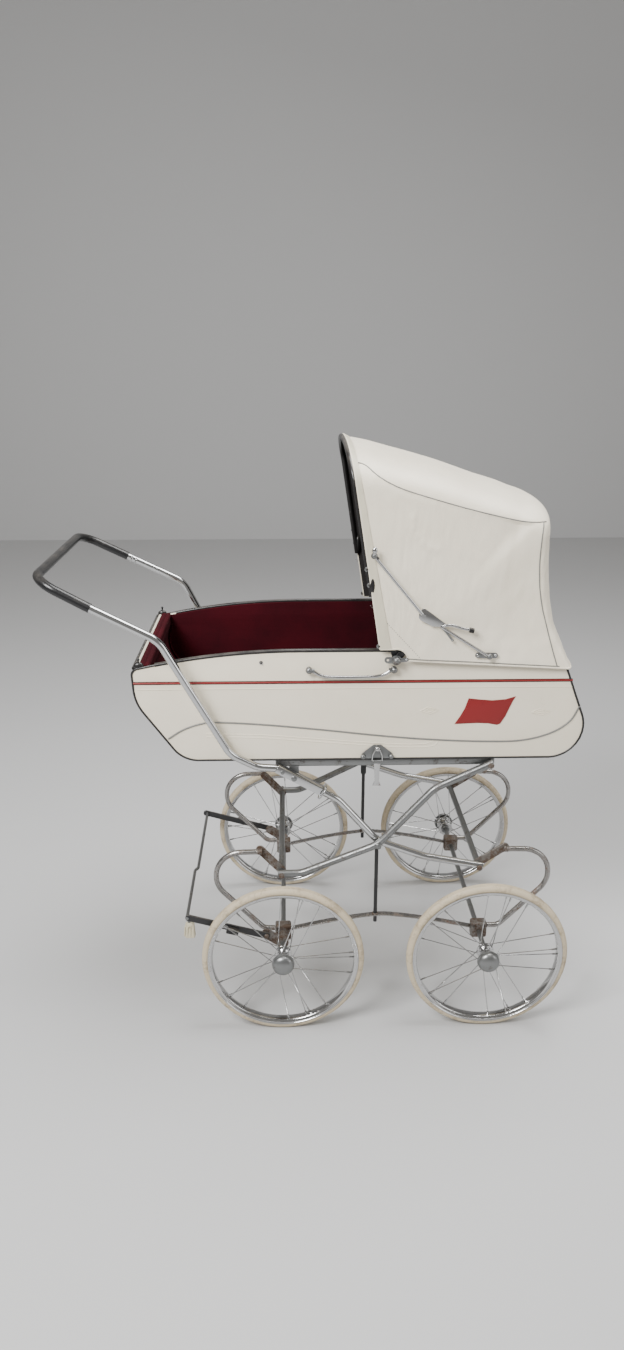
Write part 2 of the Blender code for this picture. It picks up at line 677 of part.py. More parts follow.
def carry_handle(side):
    """Bail between two ball ends; it hangs against the cot's side and swings out to be gripped."""
    out = SIDES[side]
    y = out * 0.2025
    start, end = (-0.1530, 0.7560), (0.0110, 0.7560)
    corners = [(start[0], y, start[1]), (start[0] + 0.0160, y, 0.7440), (end[0] - 0.0160, y, 0.7440),
               (end[0], y, end[1])]
    bar = tube("bar", rounded(corners, [0.018, 0.018], steps=3), 0.0035, 1)
    knobs = [ball("knob", (x, y, start[1]), 0.0068, 10) for x in (start[0], end[0])]
    finish(united(f"carry_handle_{side}", [bar, *knobs]), "chrome", (-0.0710, y, 0.7560))


def latch(side):
    """Winged plate on the cot's lower edge, and the lever that grips the rail below it."""
    out = SIDES[side]
    face = COT_HALF_WIDTH + GAP
    x = -0.0180
    wings = plate("wings", rounded_loop(((x - 0.0340, 0.5690), (x + 0.0340, 0.5690), (x + 0.0300, 0.5800),
                                         (x + 0.0080, 0.5980), (x - 0.0080, 0.5980), (x - 0.0300, 0.5800)),
                                        0.0030), *sorted((out * face, out * (face + 0.0025))))
    studs = [ball("stud", (place, out * (face + 0.0056), 0.5745), 0.0052, 10)
             for place in (x - 0.0280, x + 0.0280)]
    knob = pin("knob", (x, 0.5920), out * (face + 0.0010), out * (face + 0.0110), 0.0050, 10)
    finish(united(f"latch_plate_{side}", [wings, *studs, knob]), "chrome")
    low_y = face + 0.0050
    lever = plate("lever", rounded_loop(((x - 0.0050, 0.5220), (x - 0.0085, 0.5120), (x + 0.0085, 0.5120),
                                         (x + 0.0050, 0.5220), (x + 0.0065, 0.5640), (x - 0.0065, 0.5640)),
                                        0.0015), *sorted((out * low_y, out * (low_y + 0.0030))))
    barrel = rod("barrel", (x - 0.0110, out * (low_y + 0.0015), 0.5640),
                 (x + 0.0110, out * (low_y + 0.0015), 0.5640), 0.0040)
    hinge = (x, out * (low_y + 0.0015), 0.5640)
    finish(united(f"latch_lever_{side}", [lever, barrel]), "chrome", hinge)


# Degrees back from upright, the cloth's reach from the pivot, the depth of its top's curve, how far its
# shoulders stand in from its foot.
HOOD_STATIONS = ((0, 0.3770, 0.075, 0.013), (13, 0.3640, 0.070, 0.013), (27, 0.3660, 0.066, 0.013),
                 (39, 0.3860, 0.062, 0.013), (47, 0.4030, 0.058, 0.013), (53, 0.3780, 0.052, 0.013),
                 (61, 0.3480, 0.046, 0.013), (70, 0.3300, 0.040, 0.012), (79, 0.3260, 0.034, 0.010),
                 (87, 0.3370, 0.028, 0.006), (93.5, 0.3520, 0.020, 0.002))
FRONT_BOW_ANGLE = -11.5
REAR_BOW_ANGLE = 45.5
HOOD_START = 0.0220
HOOD_KNEE = 0.0850  # the sides stand upright as far out from the pivot as this, then lean in
HOOD_FRONT_REACH = 0.4030
HOOD_FRONT_DEPTH = 0.0800


def arch(reach, depth, start, lean=HOOD_LEAN, inset=0.0, sides=4, crown=8):
    """Points (y, reach) of one bow's shape: straight sides under a domed top."""
    low_y = HOOD_SIDE_Y - inset
    top_y = low_y - lean
    reach -= inset
    shoulder = reach - depth
    half = [(low_y, start)]
    for step in range(sides):
        along = step / sides
        half.append((low_y + (top_y - low_y) * along, HOOD_KNEE + (shoulder - HOOD_KNEE) * along))
    for step in range(crown + 1):
        angle = math.pi / 2 * step / crown
        across = math.cos(angle) ** 0.80
        half.append((top_y * across, shoulder + depth * math.sin(angle) ** 0.80))
    return half + [(-y, r) for y, r in reversed(half[:-1])]


def hood_point(y, reach, degrees, forward=0.0):
    angle = math.radians(degrees)
    return Vector((HOOD_PIVOT[0] + reach * math.sin(angle) - forward, y,
                   HOOD_PIVOT[1] + reach * math.cos(angle)))


def hood_cover():
    """Cloth loft over the two bows, from the overhanging front edge round to the hem behind."""
    rows = []
    front = arch(HOOD_FRONT_REACH + 0.0050, HOOD_FRONT_DEPTH, HOOD_START)
    rows.append([hood_point(y, r, FRONT_BOW_ANGLE, 0.0280 - 0.0180 * r / HOOD_FRONT_REACH) for y, r in front])
    for degrees, reach, depth, lean in ((FRONT_BOW_ANGLE, HOOD_FRONT_REACH, HOOD_FRONT_DEPTH, HOOD_LEAN),
                                        *HOOD_STATIONS):
        rows.append([hood_point(y, r, degrees) for y, r in arch(reach, depth, HOOD_START, lean)])
    work = bmesh.new()
    grid = [[work.verts.new(place) for place in row] for row in rows]
    for row, following in zip(grid, grid[1:]):
        for number in range(len(row) - 1):
            work.faces.new((row[number], row[number + 1], following[number + 1], following[number]))
    cover = mesh_object("hood_cover", work)
    skin = cover.modifiers.new("cloth", "SOLIDIFY")
    skin.thickness = HOOD_CLOTH
    skin.offset = -1
    skin.use_even_offset = True
    cover = baked(cover)
    holes = []
    for out in (-1, 1):
        for place in (STAY_TOP, STAY_FOOT):
            holes.append(pin("hole", place, out * 0.1700, out * 0.2300, 0.0045))
    finish(cut(cover, holes), "cream_leathercloth", (HOOD_PIVOT[0], 0, HOOD_PIVOT[1]))


def hood_bow(name, degrees, reach, depth, inset, width):
    """Flat steel bow, turning about the hood's pivot pins."""
    band = 0.0030
    outside = arch(reach, depth, 0.0, inset=inset)
    inside = arch(reach, depth, 0.0, inset=inset + band)
    curve_outline = outside + inside[::-1]
    bow = plate(name, curve_outline, -width / 2, width / 2)
    leg_y = HOOD_SIDE_Y - inset
    eyes = [rod("eye", (out * (leg_y - band), 0, 0), (out * leg_y, 0, 0), 0.0080, 16) for out in (-1, 1)]
    bow = united(name, [bow, *eyes])
    bore = rod("bore", (-0.2500, 0, 0), (0.2500, 0, 0), 0.0030 + RUNNING, 16)
    bow = cut(bow, [bore])
    bow.data.transform(Matrix.Rotation(math.pi / 2, 4, "Z"))
    turn = Matrix.Rotation(math.radians(degrees), 4, "Y")
    pivot = Vector((HOOD_PIVOT[0], 0, HOOD_PIVOT[1]))
    bow.data.transform(Matrix.Translation(pivot) @ turn)
    return bow


def hood_bows():
    pivot = (HOOD_PIVOT[0], 0, HOOD_PIVOT[1])
    front = hood_bow("hood_bow_front", FRONT_BOW_ANGLE, 0.3990, 0.080, 0.0066, 0.0140)
    eyes = [pin("hole", STAY_TOP, out * 0.1700, out * 0.2200, 0.0025 + RUNNING) for out in (-1, 1)]
    finish(cut(front, eyes), "chrome", pivot)
    rear = hood_bow("hood_bow_rear", REAR_BOW_ANGLE, 0.3930, 0.058, 0.0032, 0.0120)
    finish(rear, "chrome", pivot)


def hood_pivot(side):
    """Pin, washer and ball nut that the bows turn on."""
    out = SIDES[side]
    shank = pin("shank", HOOD_PIVOT, out * (COT_HALF_WIDTH + GAP), out * 0.2100, 0.0030)
    washer = pin("washer", HOOD_PIVOT, out * 0.2030, out * 0.2050, 0.0100, 16)
    knob = ball("knob", (HOOD_PIVOT[0], out * 0.2125, HOOD_PIVOT[1]), 0.0080)
    finish(united(f"hood_pivot_{side}", [shank, washer, knob]), "chrome")


def hood_stay(side):
    """Two bars that break at the elbow and fold with the hood."""
    out = SIDES[side]
    elbow_pin = pin("rivet", STAY_ELBOW, out * 0.2112, out * 0.2165, 0.0050)
    upper = plate("upper", link_outline(STAY_TOP, STAY_ELBOW, 0.0045), *sorted((out * 0.2115, out * 0.2145)))
    top_pin = pin("pin", STAY_TOP, out * 0.1915, out * 0.2165, 0.0025)
    upper = united(f"hood_stay_upper_{side}", [upper, elbow_pin, top_pin])
    finish(upper, "chrome", (STAY_TOP[0], 0, STAY_TOP[1]))
    lower = plate("lower", link_outline(STAY_ELBOW, STAY_FOOT, 0.0045), *sorted((out * 0.2075, out * 0.2105)))
    foot_pin = pin("pin", STAY_FOOT, out * (COT_HALF_WIDTH - 0.0050), out * 0.2120, 0.0025)
    knob = ball("knob", (STAY_FOOT[0], out * 0.2135, STAY_FOOT[1]), 0.0055, 10)
    lower = united(f"hood_stay_lower_{side}", [lower, foot_pin, knob])
    finish(lower, "chrome", (STAY_FOOT[0], 0, STAY_FOOT[1]))


for end_name in ENDS:
    axle(end_name)
    cross_tube(end_name)
    for side_name in SIDES:
        wheel(end_name, side_name)
        axle_bracket(end_name, side_name)
        c_spring(end_name, side_name)
for side_name in SIDES:
    tie_strip(side_name)
    guide_post(side_name)
    frame_arm(True, side_name)
    frame_arm(False, side_name)
    cot_rail(side_name)
    handle_channel(side_name)
    lock_ring(side_name)
    carry_handle(side_name)
    latch(side_name)
    hood_pivot(side_name)
    hood_stay(side_name)
push_handle()
brake_bar()
cot_shell()
cot_liner()
mattress()
hood_cover()
hood_bows()
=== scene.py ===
import json
import math
import bpy
from mathutils import Matrix, Vector, kdtree, noise
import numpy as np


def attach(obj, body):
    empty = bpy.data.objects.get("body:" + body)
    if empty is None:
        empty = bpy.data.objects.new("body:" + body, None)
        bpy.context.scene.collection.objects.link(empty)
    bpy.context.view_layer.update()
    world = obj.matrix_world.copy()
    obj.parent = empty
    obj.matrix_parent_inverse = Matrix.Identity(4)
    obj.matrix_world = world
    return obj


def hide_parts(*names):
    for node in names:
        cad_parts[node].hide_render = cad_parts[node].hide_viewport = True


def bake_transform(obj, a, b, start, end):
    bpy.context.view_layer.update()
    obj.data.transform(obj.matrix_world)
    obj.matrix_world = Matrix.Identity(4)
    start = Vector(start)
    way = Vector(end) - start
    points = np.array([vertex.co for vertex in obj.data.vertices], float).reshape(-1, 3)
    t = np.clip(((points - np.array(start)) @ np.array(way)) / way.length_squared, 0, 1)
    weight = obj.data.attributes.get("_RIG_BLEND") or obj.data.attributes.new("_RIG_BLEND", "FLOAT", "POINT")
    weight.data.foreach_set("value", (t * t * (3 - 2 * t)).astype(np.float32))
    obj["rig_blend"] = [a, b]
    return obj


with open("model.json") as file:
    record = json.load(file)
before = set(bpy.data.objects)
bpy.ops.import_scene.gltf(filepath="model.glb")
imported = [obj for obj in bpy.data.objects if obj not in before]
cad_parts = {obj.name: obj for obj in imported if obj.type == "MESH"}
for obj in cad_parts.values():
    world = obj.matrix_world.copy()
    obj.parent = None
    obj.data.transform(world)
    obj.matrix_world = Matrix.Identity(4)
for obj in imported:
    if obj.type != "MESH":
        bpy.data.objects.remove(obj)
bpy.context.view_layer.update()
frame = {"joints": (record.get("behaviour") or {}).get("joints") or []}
wheelSpots = [Vector(joint["pos_m"]) for joint in frame["joints"]
    if joint["name"].endswith("_spin")]
mid = sum(spot.x for spot in wheelSpots) / len(wheelSpots)  # x midway between the axles
sides = {"left": 1, "right": -1}
ends = {"rear": -1, "front": 1}


def at(x, y, z):  # a place measured from the ground midway between the axles
    return Vector((mid + x, y, z))


# ---- camera, floor and light
cameraView = {"place": (-0.1913, -1.974, 1.3553), "tilt": 71.06, "turn": -1.42, "lens": 26.0}
studio = {"floorTone": 0.52, "worldTone": (0.92, 0.89, 0.85), "worldStrength": 0.33}


def makeStudio():
    bpy.ops.object.select_all(action="DESELECT")
    bpy.ops.object.camera_add(location=at(*cameraView["place"]),
        rotation=(math.radians(cameraView["tilt"]), 0, math.radians(cameraView["turn"])))
    camera = bpy.context.object
    camera.name = "camera"
    camera.data.lens = cameraView["lens"]
    camera.data.sensor_width = 36
    camera.data.dof.use_dof = False
    bpy.context.scene.camera = camera
    world = bpy.data.worlds.new("studioWorld")
    world.use_nodes = True
    back = world.node_tree.nodes["Background"]
    back.inputs["Color"].default_value = (*studio["worldTone"], 1)
    back.inputs["Strength"].default_value = studio["worldStrength"]
    bpy.context.scene.world = world
    lamps = {"keyLight": ((-1.9, -2.2, 3.1), 1.5, 205), "fillLight": ((2.8, -1.4, 1.6), 1.8, 26),
             "topLight": ((0.6, 0.2, 3.3), 1.8, 112)}
    for name, (place, size, power) in lamps.items():
        spot = at(*place)
        aim = (at(0, 0, 0.55) - spot).to_track_quat("-Z", "Y").to_euler()
        bpy.ops.object.light_add(type="AREA", location=spot, rotation=aim)
        lamp = bpy.context.object
        lamp.name = name
        lamp.data.size = size
        lamp.data.energy = power
    bpy.ops.mesh.primitive_plane_add(size=14, location=(0, 0, 0))
    floor = bpy.context.object
    floor.name = "floor"
    bpy.ops.mesh.primitive_plane_add(size=14, location=(0, 5.0, 4.0), rotation=(math.pi / 2, 0, 0))
    wall = bpy.context.object
    wall.name = "backdrop"
    paint = bpy.data.materials.new("studioPaint")
    paint.use_nodes = True
    shader = paint.node_tree.nodes["Principled BSDF"]
    shader.inputs["Base Color"].default_value = (studio["floorTone"],) * 3 + (1,)
    shader.inputs["Roughness"].default_value = 0.75
    for piece in (floor, wall):
        piece.data.materials.append(paint)
    print("studio ready")


# ---- shader groups shared by several finishes
def newGroup(name, inputs, outputs):
    group = bpy.data.node_groups.new(name, "ShaderNodeTree")
    for label, kind, value in inputs:
        socket = group.interface.new_socket(label, in_out="INPUT", socket_type="NodeSocket" + kind)
        socket.default_value = value
    for label, kind in outputs:
        group.interface.new_socket(label, in_out="OUTPUT", socket_type="NodeSocket" + kind)
    return group, group.nodes.new("NodeGroupInput"), group.nodes.new("NodeGroupOutput")


def addNode(tree, kind, **values):
    node = tree.nodes.new("ShaderNode" + kind)
    for label, value in values.items():
        setattr(node, label, value)
    return node


def maths(tree, operation, first, second, clamp=False):
    node = addNode(tree, "Math", operation=operation, use_clamp=clamp)
    for number, value in enumerate((first, second)):
        if isinstance(value, (int, float)):
            node.inputs[number].default_value = value
        else:
            tree.links.new(value, node.inputs[number])
    return node.outputs[0]


def blendColours(tree, share, first, second):
    node = addNode(tree, "Mix", data_type="RGBA")
    for number, value in ((0, share), (6, first), (7, second)):
        if isinstance(value, (int, float, tuple)):
            node.inputs[number].default_value = value
        else:
            tree.links.new(value, node.inputs[number])
    return node.outputs[2]


def spread(tree, value, low, high):  # stretches a stretch of a value to 0..1
    node = addNode(tree, "MapRange")
    tree.links.new(value, node.inputs[0])
    node.inputs[1].default_value = low
    node.inputs[2].default_value = high
    return node.outputs[0]


def noiseAt(tree, scale, detail=4.0, rough=0.55, vector=None):
    node = addNode(tree, "TexNoise")
    if isinstance(scale, (int, float)):
        node.inputs["Scale"].default_value = scale
    else:
        tree.links.new(scale, node.inputs["Scale"])
    node.inputs["Detail"].default_value = detail
    node.inputs["Roughness"].default_value = rough
    if vector is not None:
        tree.links.new(vector, node.inputs["Vector"])
    return node.outputs["Fac"]


def buildWear():  # blotches and pin spots of a second colour, as rust, dirt or rubbed paint
    group, source, result = newGroup("patchyWear",
        [("Colour", "Color", (0.5, 0.5, 0.5, 1)), ("Worn Colour", "Color", (0.2, 0.1, 0.05, 1)),
        ("Amount", "Float", 0.3), ("Scale", "Float", 30.0), ("Smooth", "Float", 0.3),
        ("Rough", "Float", 0.8)], [("Colour", "Color"), ("Roughness", "Float"), ("Mask", "Float")])
    place = addNode(group, "TexCoord").outputs["Object"]
    broad = noiseAt(group, source.outputs["Scale"], 6, 0.65, place)
    finer = maths(group, "MULTIPLY", source.outputs["Scale"], 7.0)
    fine = noiseAt(group, finer, 3, 0.6, place)
    both = maths(group, "ADD", maths(group, "MULTIPLY", broad, 0.7),
        maths(group, "MULTIPLY", fine, 0.3))
    edge = maths(group, "SUBTRACT", 0.72, maths(group, "MULTIPLY", source.outputs["Amount"], 0.5))
    mask = maths(group, "MULTIPLY", maths(group, "SUBTRACT", both, edge), 9.0, True)
    group.links.new(blendColours(group, mask, source.outputs["Colour"],
        source.outputs["Worn Colour"]), result.inputs["Colour"])
    change = maths(group, "MULTIPLY", mask, maths(group, "SUBTRACT", source.outputs["Rough"],
                                                  source.outputs["Smooth"]))
    group.links.new(maths(group, "ADD", source.outputs["Smooth"], change),
        result.inputs["Roughness"])
    group.links.new(mask, result.inputs["Mask"])
    return group


def buildDust():  # grey dust on what faces up
    group, source, result = newGroup("settledDust", [
        ("Colour", "Color", (0.5, 0.5, 0.5, 1)), ("Dust Colour", "Color", (0.3, 0.27, 0.23, 1)),
        ("Amount", "Float", 0.25)], [("Colour", "Color")])
    normal = addNode(group, "NewGeometry").outputs["Normal"]
    split = addNode(group, "SeparateXYZ")
    group.links.new(normal, split.inputs[0])
    up = spread(group, split.outputs["Z"], 0.15, 0.95)
    place = addNode(group, "TexCoord").outputs["Object"]
    patches = spread(group, noiseAt(group, 24.0, 5, 0.65, place), 0.35, 0.7)
    share = maths(group, "MULTIPLY", maths(group, "MULTIPLY", up, patches),
        source.outputs["Amount"], True)
    group.links.new(blendColours(group, share, source.outputs["Colour"],
        source.outputs["Dust Colour"]), result.inputs["Colour"])
    return group


def buildGrain():  # pebbled grain of coated cloth, with soft creases over it
    group, source, result = newGroup("leathercloth", [
        ("Grain", "Float", 620.0), ("Grain Depth", "Float", 0.3), ("Crease", "Float", 9.0),
        ("Crease Depth", "Float", 0.5)], [("Height", "Float"), ("Crease Mask", "Float")])
    place = addNode(group, "TexCoord").outputs["Object"]
    cells = addNode(group, "TexVoronoi")
    group.links.new(place, cells.inputs["Vector"])
    group.links.new(source.outputs["Grain"], cells.inputs["Scale"])
    warp = addNode(group, "TexNoise")
    group.links.new(place, warp.inputs["Vector"])
    warp.inputs["Scale"].default_value = 14.0
    warp.inputs["Detail"].default_value = 3.0
    shift = addNode(group, "VectorMath", operation="SCALE")
    group.links.new(warp.outputs["Color"], shift.inputs[0])
    shift.inputs["Scale"].default_value = 0.12
    moved = addNode(group, "VectorMath", operation="ADD")
    group.links.new(place, moved.inputs[0])
    group.links.new(shift.outputs[0], moved.inputs[1])
    ridges = addNode(group, "TexNoise", noise_type="RIDGED_MULTIFRACTAL")
    group.links.new(moved.outputs[0], ridges.inputs["Vector"])
    group.links.new(source.outputs["Crease"], ridges.inputs["Scale"])
    ridges.inputs["Detail"].default_value = 3.0
    lines = spread(group, ridges.outputs["Fac"], 0.45, 1.05)
    fine = maths(group, "MULTIPLY", cells.outputs["Distance"], source.outputs["Grain Depth"])
    creases = maths(group, "MULTIPLY", lines, source.outputs["Crease Depth"])
    group.links.new(maths(group, "ADD", fine, creases), result.inputs["Height"])
    group.links.new(lines, result.inputs["Crease Mask"])
    return group


def buildWeave():  # plain woven cloth over any face, from two crossed waves in object space
    group, source, result = newGroup("plainWeave", [("Threads", "Float", 1500.0)],
        [("Height", "Float")])
    split = addNode(group, "SeparateXYZ")
    group.links.new(addNode(group, "TexCoord").outputs["Object"], split.inputs[0])
    waves = []
    for axis in "XYZ":
        turns = maths(group, "MULTIPLY", split.outputs[axis], source.outputs["Threads"])
        waves.append(maths(group, "SINE", turns, 0.0))
    height = maths(group, "ADD", waves[0], maths(group, "ADD", waves[1], waves[2]))
    group.links.new(maths(group, "MULTIPLY", height, 0.33), result.inputs["Height"])
    return group


groups = {"wear": buildWear(), "dust": buildDust(), "grain": buildGrain(), "weave": buildWeave()}


def placeGroup(tree, name, **values):
    node = addNode(tree, "Group")
    node.node_tree = groups[name]
    for label, value in values.items():
        socket = node.inputs[label.replace("_", " ")]
        if isinstance(value, (int, float, tuple)):
            socket.default_value = value
        else:
            tree.links.new(value, socket)
    return node


def bumpFrom(tree, height, strength, distance):
    node = addNode(tree, "Bump")
    node.inputs["Strength"].default_value = strength
    node.inputs["Distance"].default_value = distance
    tree.links.new(height, node.inputs["Height"])
    return node.outputs["Normal"]


def startFinish(name, **constants):
    made = bpy.data.materials.new(name)
    made.use_nodes = True
    shader = made.node_tree.nodes["Principled BSDF"]
    for label, value in constants.items():
        shader.inputs[label.replace("_", " ")].default_value = value
    return made, made.node_tree, shader


def wornFinish(name, colour, wornColour, amount, scale, smooth, rough, dust=0.2, metallic=0.0,
        bump=0.15, **more):
    made, tree, shader = startFinish(name, **more)
    wear = placeGroup(tree, "wear", Colour=(*colour, 1), Worn_Colour=(*wornColour, 1),
        Amount=amount, Scale=scale, Smooth=smooth, Rough=rough)
    settled = placeGroup(tree, "dust", Colour=wear.outputs["Colour"], Amount=dust)
    tree.links.new(settled.outputs["Colour"], shader.inputs["Base Color"])
    tree.links.new(wear.outputs["Roughness"], shader.inputs["Roughness"])
    if metallic:
        bare = maths(tree, "SUBTRACT", 1.0, wear.outputs["Mask"], True)
        tree.links.new(maths(tree, "MULTIPLY", bare, metallic), shader.inputs["Metallic"])
    place = addNode(tree, "TexCoord").outputs["Object"]
    pits = maths(tree, "ADD", wear.outputs["Mask"], noiseAt(tree, 260.0, 2, 0.5, place))
    tree.links.new(bumpFrom(tree, pits, bump, 0.0006), shader.inputs["Normal"])
    return made


def clothFinish(name, colour, shade, grain, grainDepth, creaseDepth, roughness, distance, **more):
    made, tree, shader = startFinish(name, Roughness=roughness, **more)
    skin = placeGroup(tree, "grain", Grain=grain, Grain_Depth=grainDepth, Crease_Depth=creaseDepth)
    place = addNode(tree, "TexCoord").outputs["Object"]
    stains = spread(tree, noiseAt(tree, 5.0, 5, 0.6, place), 0.4, 0.75)
    spots = spread(tree, noiseAt(tree, 90.0, 3, 0.6, place), 0.64, 0.72)
    share = maths(tree, "ADD", maths(tree, "MULTIPLY", stains, 0.45),
        maths(tree, "MULTIPLY", spots, 0.25), True)
    aged = blendColours(tree, share, (*colour, 1), (*shade, 1))
    settled = placeGroup(tree, "dust", Colour=aged, Amount=0.1)
    tree.links.new(settled.outputs["Colour"], shader.inputs["Base Color"])
    tree.links.new(bumpFrom(tree, skin.outputs["Height"], 0.5, distance), shader.inputs["Normal"])
    return made


def wovenFinish(name, colour, shade, threads, roughness, distance, **more):
    made, tree, shader = startFinish(name, Roughness=roughness, **more)
    weave = placeGroup(tree, "weave", Threads=threads)
    place = addNode(tree, "TexCoord").outputs["Object"]
    faded = spread(tree, noiseAt(tree, 9.0, 5, 0.6, place), 0.35, 0.72)
    tree.links.new(blendColours(tree, faded, (*colour, 1), (*shade, 1)),
        shader.inputs["Base Color"])
    tree.links.new(bumpFrom(tree, weave.outputs["Height"], 0.4, distance), shader.inputs["Normal"])
    return made


finishes = {
    "cloth": clothFinish("hoodLeathercloth", (0.92, 0.845, 0.69), (0.79, 0.7, 0.53),
        520.0, 0.25, 0.55, 0.4, 0.0016, Sheen_Weight=0.1),
    "panel": clothFinish("cotLeathercloth", (0.9, 0.825, 0.67), (0.78, 0.69, 0.52),
        620.0, 0.18, 0.05, 0.34, 0.0006, Coat_Weight=0.15),
    "hoodInside": wovenFinish("hoodInsideCloth", (0.02, 0.017, 0.016), (0.012, 0.01, 0.01),
        2400.0, 0.85, 0.0004),
    # burgundy lining colour is darkened well below the cloth's own tone: painted shade for the cot's shaded
    # inner walls
    "burgundy": wovenFinish("burgundyLiningPaintedShade", (0.048, 0.0013, 0.005), (0.022, 0.0008, 0.003),
        2100.0, 0.88, 0.0004, Specular_IOR_Level=0.15),
    "cotton": wovenFinish("mattressCotton", (0.1, 0.012, 0.02), (0.06, 0.008, 0.012),
        1700.0, 0.8, 0.0005),
}
# name, colour, worn colour, amount, scale, smooth, rough, dust, metallic and bump
wornValues = {
    "blackPiping": ("blackPiping", (0.012, 0.011, 0.011), (0.1, 0.09, 0.08), 0.25, 60, 0.32, 0.6,
        0.3),
    "binding": ("hoodBinding", (0.66, 0.61, 0.47), (0.46, 0.41, 0.3), 0.3, 40, 0.42, 0.6, 0.2),
    "creamPiping": ("creamPiping", (0.8, 0.735, 0.6), (0.42, 0.36, 0.28), 0.25, 60, 0.4, 0.6, 0.2),
    "greyPiping": ("greyPiping", (0.17, 0.17, 0.16), (0.3, 0.28, 0.25), 0.3, 50, 0.35, 0.6, 0.2),
    "redPiping": ("redPiping", (0.24, 0.014, 0.013), (0.15, 0.03, 0.026), 0.3, 50, 0.4, 0.6, 0.1),
    "redPatch": ("redPatch", (0.215, 0.01, 0.011), (0.155, 0.008, 0.009), 0.42, 9, 0.5, 0.6, 0.05),
    "chrome": ("agedChrome", (0.52, 0.52, 0.52), (0.15, 0.12, 0.1), 0.26, 46, 0.13, 0.55, 0.12,
        1.0, 0.08),
    "handleChrome": ("handleChrome", (0.56, 0.565, 0.57), (0.18, 0.155, 0.13), 0.16, 40, 0.12,
        0.5, 0.1, 1.0, 0.05),
    "greySteel": ("dullSteel", (0.22, 0.225, 0.225), (0.075, 0.06, 0.05), 0.35, 36, 0.34, 0.75,
        0.2, 0.85, 0.2),
    "springSteel": ("springSteel", (0.3, 0.29, 0.28), (0.11, 0.062, 0.038), 0.4, 44, 0.26, 0.75,
        0.2, 0.95, 0.2),
    "rusty": ("rustySteel", (0.21, 0.195, 0.18), (0.075, 0.044, 0.027), 0.56, 48, 0.42, 0.85,
        0.2, 0.8, 0.4),
    "blackSteel": ("blackSteel", (0.012, 0.012, 0.013), (0.05, 0.03, 0.02), 0.25, 50, 0.3, 0.7,
        0.25),
    "grip": ("blackGrip", (0.01, 0.01, 0.011), (0.03, 0.028, 0.026), 0.35, 28, 0.28, 0.5, 0.15),
    "tyre": ("creamTyre", (0.55, 0.465, 0.33), (0.38, 0.31, 0.215), 0.46, 30, 0.62, 0.85, 0.35,
        0.0, 0.35),
    "pedal": ("pedalRubber", (0.66, 0.6, 0.44), (0.33, 0.28, 0.19), 0.4, 70, 0.6, 0.8, 0.3, 0.0,
        0.3),
    "lever": ("blackTip", (0.01, 0.01, 0.01), (0.05, 0.045, 0.04), 0.2, 70, 0.35, 0.6, 0.2),
}
for label, values in wornValues.items():
    finishes[label] = wornFinish(*values)
print("finishes ready")


# ---- modelling helpers
def choose(*pieces):
    bpy.ops.object.select_all(action="DESELECT")
    for piece in pieces:
        piece.select_set(True)
    bpy.context.view_layer.objects.active = pieces[0]


def roundedPath(corners, radii, steps=8):  # straight runs joined by arcs
    path = [Vector(corners[0])]
    for before, corner, after, radius in zip(corners, corners[1:], corners[2:], radii):
        corner = Vector(corner)
        back = (Vector(before) - corner).normalized()
        ahead = (Vector(after) - corner).normalized()
        half = back.angle(ahead) / 2
        centre = corner + (back + ahead).normalized() * (radius / math.sin(half))
        start = corner + back * (radius / math.tan(half)) - centre
        stop = corner + ahead * (radius / math.tan(half)) - centre
        for step in range(steps + 1):
            share = step / steps
            path.append(centre + (start * (1 - share) + stop * share).normalized() * radius)
    path.append(Vector(corners[-1]))
    return path


def smoothPath(points, steps=8):  # an even curve through every point
    points = [Vector(point) for point in points]
    padded = [points[0] * 2 - points[1], *points, points[-1] * 2 - points[-2]]
    path = []
    for a, b, c, d in zip(padded, padded[1:], padded[2:], padded[3:]):
        for step in range(steps):
            t = step / steps
            path.append(0.5 * ((2 * b) + (c - a) * t + (2 * a - 5 * b + 4 * c - d) * t * t
                               + (3 * b - a - 3 * c + d) * t ** 3))
    path.append(points[-1])
    return path


def startCurve(name, paths, flat=False, closed=False):
    bpy.ops.object.select_all(action="DESELECT")
    bpy.ops.curve.primitive_nurbs_path_add(location=(0, 0, 0))
    piece = bpy.context.object
    piece.name = name
    piece.data.dimensions = "2D" if flat else "3D"
    piece.data.splines.clear()
    for path in paths:
        spline = piece.data.splines.new("POLY")
        spline.points.add(len(path) - 1)
        for slot, point in zip(spline.points, path):
            slot.co = (*point, 1) if len(point) == 3 else (*point, 0, 1)
        spline.use_cyclic_u = closed
    return piece


def finishPiece(piece, finish, body=None, angle=38, merge=0.00001):
    choose(piece)
    if piece.type != "MESH":
        bpy.ops.object.convert(target="MESH")
    bpy.ops.object.transform_apply(location=True, rotation=True, scale=True)
    bpy.ops.object.mode_set(mode="EDIT")
    bpy.ops.mesh.select_all(action="SELECT")
    bpy.ops.mesh.remove_doubles(threshold=merge)
    bpy.ops.mesh.normals_make_consistent(inside=False)
    bpy.ops.object.mode_set(mode="OBJECT")
    bpy.ops.object.shade_smooth_by_angle(angle=math.radians(angle))
    piece.data.materials.clear()
    piece.data.materials.append(finishes[finish])
    if body:
        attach(piece, body)
    return piece


def bentTube(name, paths, radius, finish, body=None, closed=False, around=5):
    piece = startCurve(name, paths, closed=closed)
    piece.data.bevel_depth = radius
    piece.data.bevel_resolution = around
    piece.data.use_fill_caps = not closed
    return finishPiece(piece, finish, body)


